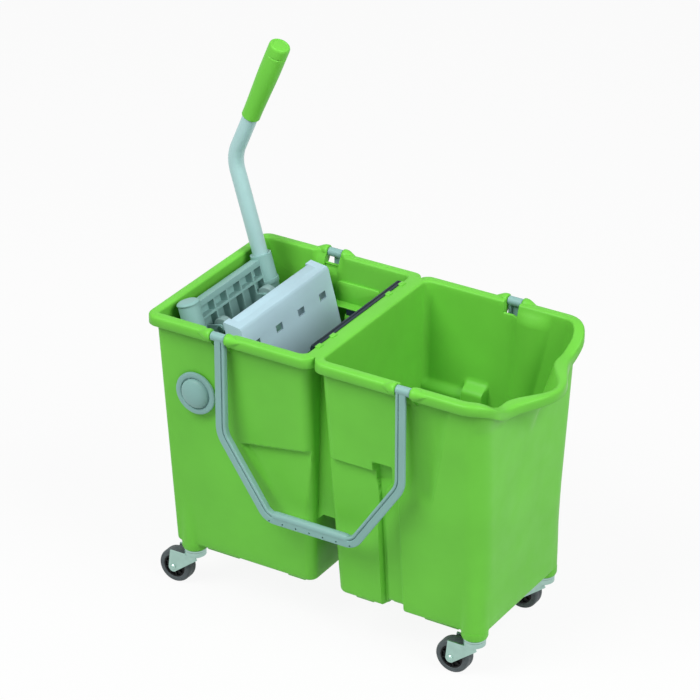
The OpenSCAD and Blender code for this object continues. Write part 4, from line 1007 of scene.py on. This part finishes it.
class TROLLEY_OT_lever(bpy.types.Operator):
    """Make the bent lever tube, its grip and the pivot caps"""

    bl_idname = "trolley.lever"
    bl_label = "Lever"

    def execute(self, context):
        w, t = sizes("wringer"), sizes("tub")
        # A frame at the lever's pivot, its Z running up the leaning tube
        place = Matrix.Translation((-t.pivot_x, w.tube_y, t.pivot_z)) @ Matrix.Rotation(-w.lean, 4, "Y")
        place = place @ Matrix.Translation((-w.socket_back, 0, 0))
        turn = w.lean + w.tube_lean
        bend = Vector((0, 0, w.bend_at))
        along = Vector((math.sin(turn), 0, math.cos(turn)))
        corners = [Vector((0, 0, w.tube_foot)), bend, bend + along * w.tube_upper]
        path = [place @ p for p in rounded(corners, [0, w.bend_r, 0], 16)]
        tube = swept(path, 2 * w.tube_r, 2 * w.tube_r, w.tube_r * 0.999, SLOTS["lever_tube"])
        piece(joined([tube], "lever_tube_coated"), "lever_tube_coated", "lever_tube")
        start = place @ (bend + along * (w.tube_upper - w.grip_l + 6))
        self.turned("lever_grip", self.grip(w), start, place.to_3x3() @ along)
        pad = Bucket(t, False).half(t.pivot_z + w.cap_r) + 0.5
        for side, node in ((-1, "pivot_cap_front"), (1, "pivot_cap_rear")):
            self.turned(node, self.cap(w, pad), (-t.pivot_x, 0, t.pivot_z), (0, side, 0))
        return {"FINISHED"}

    def turned(self, node, profile, centre, axis):
        """A turned piece that stands for a node."""
        shell = Shell()
        shell.lathe(profile, centre, axis, 72)
        name = node + "_moulded"
        piece(to_mesh(shell, name), name, node)

    def grip(self, w):
        """A grip that swells towards its end, with a groove round it and a dished tip."""
        neck, full, run = w.tube_r + 2, w.grip_r, w.grip_l
        profile = [(w.tube_r - 0.5, 1.0), (neck - 0.9, 0), (neck, 1.0)]
        profile += [
            (neck + (full - neck) * smooth(k / 12), 1.0 + (run * 0.72) * k / 12) for k in range(1, 13)
        ]
        groove = full - 0.6
        profile += [(full, run * 0.86), (groove, run * 0.865), (groove, run * 0.875), (full, run * 0.88)]
        profile += [(full - 2.5 * inward, run - 5 * down) for down, inward in quarter(6)]
        profile += [(full - 4.0, run), (full - 4.6, run - 0.7), (full - 6.0, run - 0.5), (0, run - 0.2)]
        return profile

    def cap(self, w, pad):
        """A flat cap with a groove round its dome, standing on a pad."""
        r, dome = w.cap_r, w.dome_r
        shape = [(0, 0.2), (r - 0.6, 0.2), (r, 0.8), (r, 2.6), (r - 0.5, 3.6), (r - 1.6, 4.0)]
        groove = ((2.4, 4.0), (1.8, 3.6), (1.4, 2.2), (0.4, 2.2), (0.1, 2.8))
        shape += [(dome + out, z) for out, z in groove]
        shape += [(dome * (1 - inward), 11.6 - 8.2 * down) for down, inward in quarter(16, 4)]
        return [(radius, pad + z) for radius, z in shape]


# The bails

def bail_path(b, t, inner):
    """The bail's line, moved towards the inside of the bail, as points in the X and Z directions."""
    slant = math.atan2(b.knee_z - b.low_z, b.leg_x - b.low_x)
    knee = inner * math.tan((math.pi / 2 - slant) / 2)
    foot = inner * math.tan(slant / 2)
    x = inner - b.leg_x
    corners = [(x, t.bail_z), (x, b.knee_z + knee), (foot - b.low_x, b.low_z + inner)]
    corners += [(-px, pz) for px, pz in reversed(corners)]
    radii = [0, b.knee_r - inner, b.low_r - inner]
    return rounded(corners, radii + radii[::-1], 10)


class TROLLEY_OT_bails(bpy.types.Operator):
    """Make the two carrying bails with their beads, flanges, grips and barrels"""

    bl_idname = "trolley.bails"
    bl_label = "Bails"

    def execute(self, context):
        b, t = sizes("bails"), sizes("tub")
        bead, flange = b.bead_r, b.flange_t
        for side, node in ((-1, "bail_front"), (1, "bail_rear")):
            y = side * t.bail_y
            flange_y = y + side * 0.75 * flange
            # Bead, web and flange: how far inside the bail's line, their place in Y, and their section
            lines = (
                (1.4 * bead, y + side * 0.8, 1.1 * bead, 2.3 * bead, 0.52 * bead),
                (0.85 * bead, flange_y - side * 0.9, bead, 0.5 * flange, 0.3),
                (0.75 * bead - b.flange_w / 2 - 0.4, flange_y, b.flange_w, flange, 1.3),
            )
            parts = [
                swept([(p.x, at, p.y) for p in bail_path(b, t, inner)], *section, SLOTS[node])
                for inner, at, *section in lines
            ]
            drill = Shell()
            for i in range(b.holes):
                spot = ((2 * b.low_x - 8) * (i / (b.holes - 1) - 0.5), flange_y, b.low_z - 3.5)
                drill.lathe([(0, -8), (b.hole_r, -8), (b.hole_r, 8), (0, 8)], spot, (0, 1, 0), 16)
            parts[-1] = cut_by(parts[-1], drill)
            shell = Shell()
            r, half = b.grip_r, b.low_x - 6
            tips = [(0, 0), (r * 0.55, 0.3), (r * 0.8, 1.6), (r * 0.94, 4.0), (r, 8.0)]
            grip = [(q, z - half) for q, z in tips] + [(q, half - z) for q, z in reversed(tips)]
            shell.lathe(grip, (0, y, b.low_z + bead), (1, 0, 0), 40)
            q, pin, half = b.barrel_r, b.pin_r, b.barrel_l / 2
            spindle = [(0, -half - b.pin_l), (pin, -half - b.pin_l), (pin, -half)]
            spindle += [(q - 0.8, -half), (q, 0.8 - half)]
            spindle += [(radius, -z) for radius, z in reversed(spindle)]
            for x in (-t.notch_x, t.notch_x):
                shell.lathe(spindle, (x, y, t.bail_z), (1, 0, 0), 40)
            name = node + "_moulded"
            piece(joined([*parts, to_mesh(shell, name)], name), name, node)
        return {"FINISHED"}


# The casters

class TROLLEY_OT_casters(bpy.types.Operator):
    """Make the forks, races, hubs with ribs and crowned tyres of the four casters"""

    bl_idname = "trolley.casters"
    bl_label = "Casters"

    def execute(self, context):
        c = sizes("casters")
        half, r, hub, bore = c.wheel_w / 2, c.wheel_r, c.hub_r, c.bore_r
        side = [(hub, half - 0.6), (hub + 1.0, half), (r - 4.6, half), (r - 3.8, half - 0.2)]
        side += [(r - 3.4 * down, half - 5.0 * inward) for down, inward in quarter(9)]
        tread = [(r, 1.3), (r - 0.35, 0.9), (r - 0.35, -0.9), (r, -1.3)]
        dish = [(bore, half + 0.8), (bore + 3.4, half + 0.8), (bore + 4.2, half - 0.2)]
        dish += [(bore + 4.6, half - 3.2), (hub - 2.6, half - 3.2)]
        dish += [(hub - 1.8, half - 0.8), (hub - 0.1, half - 0.8)]
        for place in CASTERS:
            low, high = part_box(f"caster_{place}_tyre")
            axle = (low + high) / 2
            spot = ((axle.x - SEAM_X) / MM, axle.y / MM, axle.z / MM)
            ribs = [self.ribs(c, axle + Vector((0, way * (half - 2.3) * MM, 0))) for way in (-1, 1)]
            wheel = (("tyre", side, tread, 80, []), ("hub", dish, [], 64, ribs))
            for part, face, middle, steps, extra in wheel:
                ring = face + middle + [(q, -z) for q, z in reversed(face)]
                shell = Shell()
                shell.lathe(ring + ring[:1], spot, (0, 1, 0), steps, capped=False)
                node = f"caster_{place}_{part}"
                name = node + "_moulded"
                piece(joined([to_mesh(shell, name), *extra], name), name, node)
            for part in ("fork", "axle", "stem"):
                node = f"caster_{place}_{part}"
                name = node + "_pressed"
                piece(softened(node, c.bevel, name), name, node)
        return {"FINISHED"}

    def ribs(self, c, centre):
        """The ribs on one side of a hub."""
        kinds = {"Count": "Int", "Radius": "Float", "Size": "Vector", "Centre": "Vector"}
        seed = bpy.data.meshes.new("seed")
        return by_nodes("Ribs in a ring", ring_of_ribs, kinds, seed, "black_plastic", {
            "Count": c.ribs, "Radius": (c.bore_r + c.hub_r + 1.2) / 2 * MM,
            "Size": ((c.hub_r - c.bore_r - 5.0) * MM, 1.5 * MM, 2.6 * MM), "Centre": centre,
        })


# The stage

# Place in metres and power in watts of the soft square lamps
LAMPS = {"key": ((-1.1, -2.5, 3.6), 160), "fill": ((3.0, -0.4, 3.0), 135), "top": ((0.3, -0.3, 3.4), 5)}
LAMP_SIZE = 2.2
FLOOR_HALF = 9


class TROLLEY_OT_stage(bpy.types.Operator):
    """Make the pale floor, the light and the camera"""

    bl_idname = "trolley.stage"
    bl_label = "Stage"

    def execute(self, context):
        s = sizes("stage")
        scene = context.scene
        scene.view_settings.view_transform = "Standard"
        self.floor()
        self.world(scene)
        for name, (spot, power) in LAMPS.items():
            lamp = bpy.data.lights.new(name, "AREA")
            lamp.size = LAMP_SIZE
            lamp.energy = power
            made = linked(name, lamp)
            made.location = spot
            made.rotation_euler = (Vector(spot) - Vector((0, 0, 0.3))).to_track_quat("Z", "Y").to_euler()
        camera = bpy.data.cameras.new("camera")
        camera.lens = s.lens
        camera.sensor_width = 36
        camera.clip_end = 50
        made = linked("camera", camera)
        back = Vector((
            math.sin(s.azimuth) * math.cos(s.elevation), -math.cos(s.azimuth) * math.cos(s.elevation),
            math.sin(s.elevation),
        ))
        made.location = Vector(s.aim) * MM + back * (s.distance * MM)
        made.rotation_euler = back.to_track_quat("Z", "Y").to_euler()
        scene.camera = made
        return {"FINISHED"}

    def floor(self):
        """A matt pale floor that shows nearly white to the camera and keeps the shadow."""
        mesh = bpy.data.meshes.new("floor")
        h = FLOOR_HALF
        mesh.from_pydata([(-h, -h, 0), (h, -h, 0), (h, h, 0), (-h, h, 0)], [], [(0, 1, 2, 3)])
        material = bpy.data.materials.new("Matt white studio floor")
        material.use_nodes = True
        tree = material.node_tree
        tree.nodes.clear()
        matt = add(tree, "ShaderNodeBsdfDiffuse", {"Color": srgb("#d0d0d0")})
        glow = add(tree, "ShaderNodeEmission", {"Color": (1, 1, 1, 1), "Strength": 1.0})
        self.shown(tree, matt, glow, 0.92, "ShaderNodeOutputMaterial")
        mesh.materials.append(material)
        linked("floor", mesh)

    def world(self, scene):
        """A white surround at a plain level of light."""
        scene.world = bpy.data.worlds.new("White surround")
        scene.world.use_nodes = True
        tree = scene.world.node_tree
        tree.nodes.clear()
        soft = add(tree, "ShaderNodeBackground", {"Color": srgb("#fbfcff"), "Strength": 0.22})
        white = add(tree, "ShaderNodeBackground", {"Color": (1, 1, 1, 1), "Strength": 1.0})
        self.shown(tree, soft, white, 1.0, "ShaderNodeOutputWorld")

    def shown(self, tree, plain, white, share, output):
        """Show a share of white to rays from the camera, a reflection or glass, and plain to the others."""
        path = add(tree, "ShaderNodeLightPath").outputs
        seen = path["Is Camera Ray"]
        for kind in ("Is Glossy Ray", "Is Transmission Ray"):
            seen = add(tree, "ShaderNodeMath", {0: seen, 1: path[kind]}, operation="MAXIMUM").outputs[0]
        part = add(tree, "ShaderNodeMath", {0: seen, 1: share}, operation="MULTIPLY").outputs[0]
        mix = add(tree, "ShaderNodeMixShader", {0: part, 1: plain.outputs[0], 2: white.outputs[0]})
        add(tree, output, {"Surface": mix.outputs[0]})


class TROLLEY_PT_panel(bpy.types.Panel):
    """Lists the trolley's pieces"""

    bl_label = "Trolley"
    bl_space_type = "VIEW_3D"
    bl_region_type = "UI"
    bl_category = "Trolley"

    def draw(self, context):
        for operator in OPERATORS:
            self.layout.operator(operator.bl_idname)


GROUPS = {
    "tub": TubSizes, "wringer": WringerSizes, "bails": BailSizes, "casters": CasterSizes,
    "finishes": Finishes, "stage": StageSizes,
}
OPERATORS = (
    TROLLEY_OT_tub, TROLLEY_OT_wringer, TROLLEY_OT_lever, TROLLEY_OT_bails, TROLLEY_OT_casters,
    TROLLEY_OT_stage,
)


def register():
    for name, group in GROUPS.items():
        bpy.utils.register_class(group)
        setattr(bpy.types.Scene, "trolley_" + name, bpy.props.PointerProperty(type=group))
    for item in (*OPERATORS, TROLLEY_PT_panel):
        bpy.utils.register_class(item)


def unregister():
    for item in (TROLLEY_PT_panel, *reversed(OPERATORS)):
        bpy.utils.unregister_class(item)
    for name, group in GROUPS.items():
        delattr(bpy.types.Scene, "trolley_" + name)
        bpy.utils.unregister_class(group)


def main():
    register()
    bpy.ops.trolley.tub()
    bpy.ops.trolley.wringer()
    bpy.ops.trolley.lever()
    bpy.ops.trolley.bails()
    bpy.ops.trolley.casters()
    bpy.ops.trolley.stage()


if __name__ == "__main__":
    main()
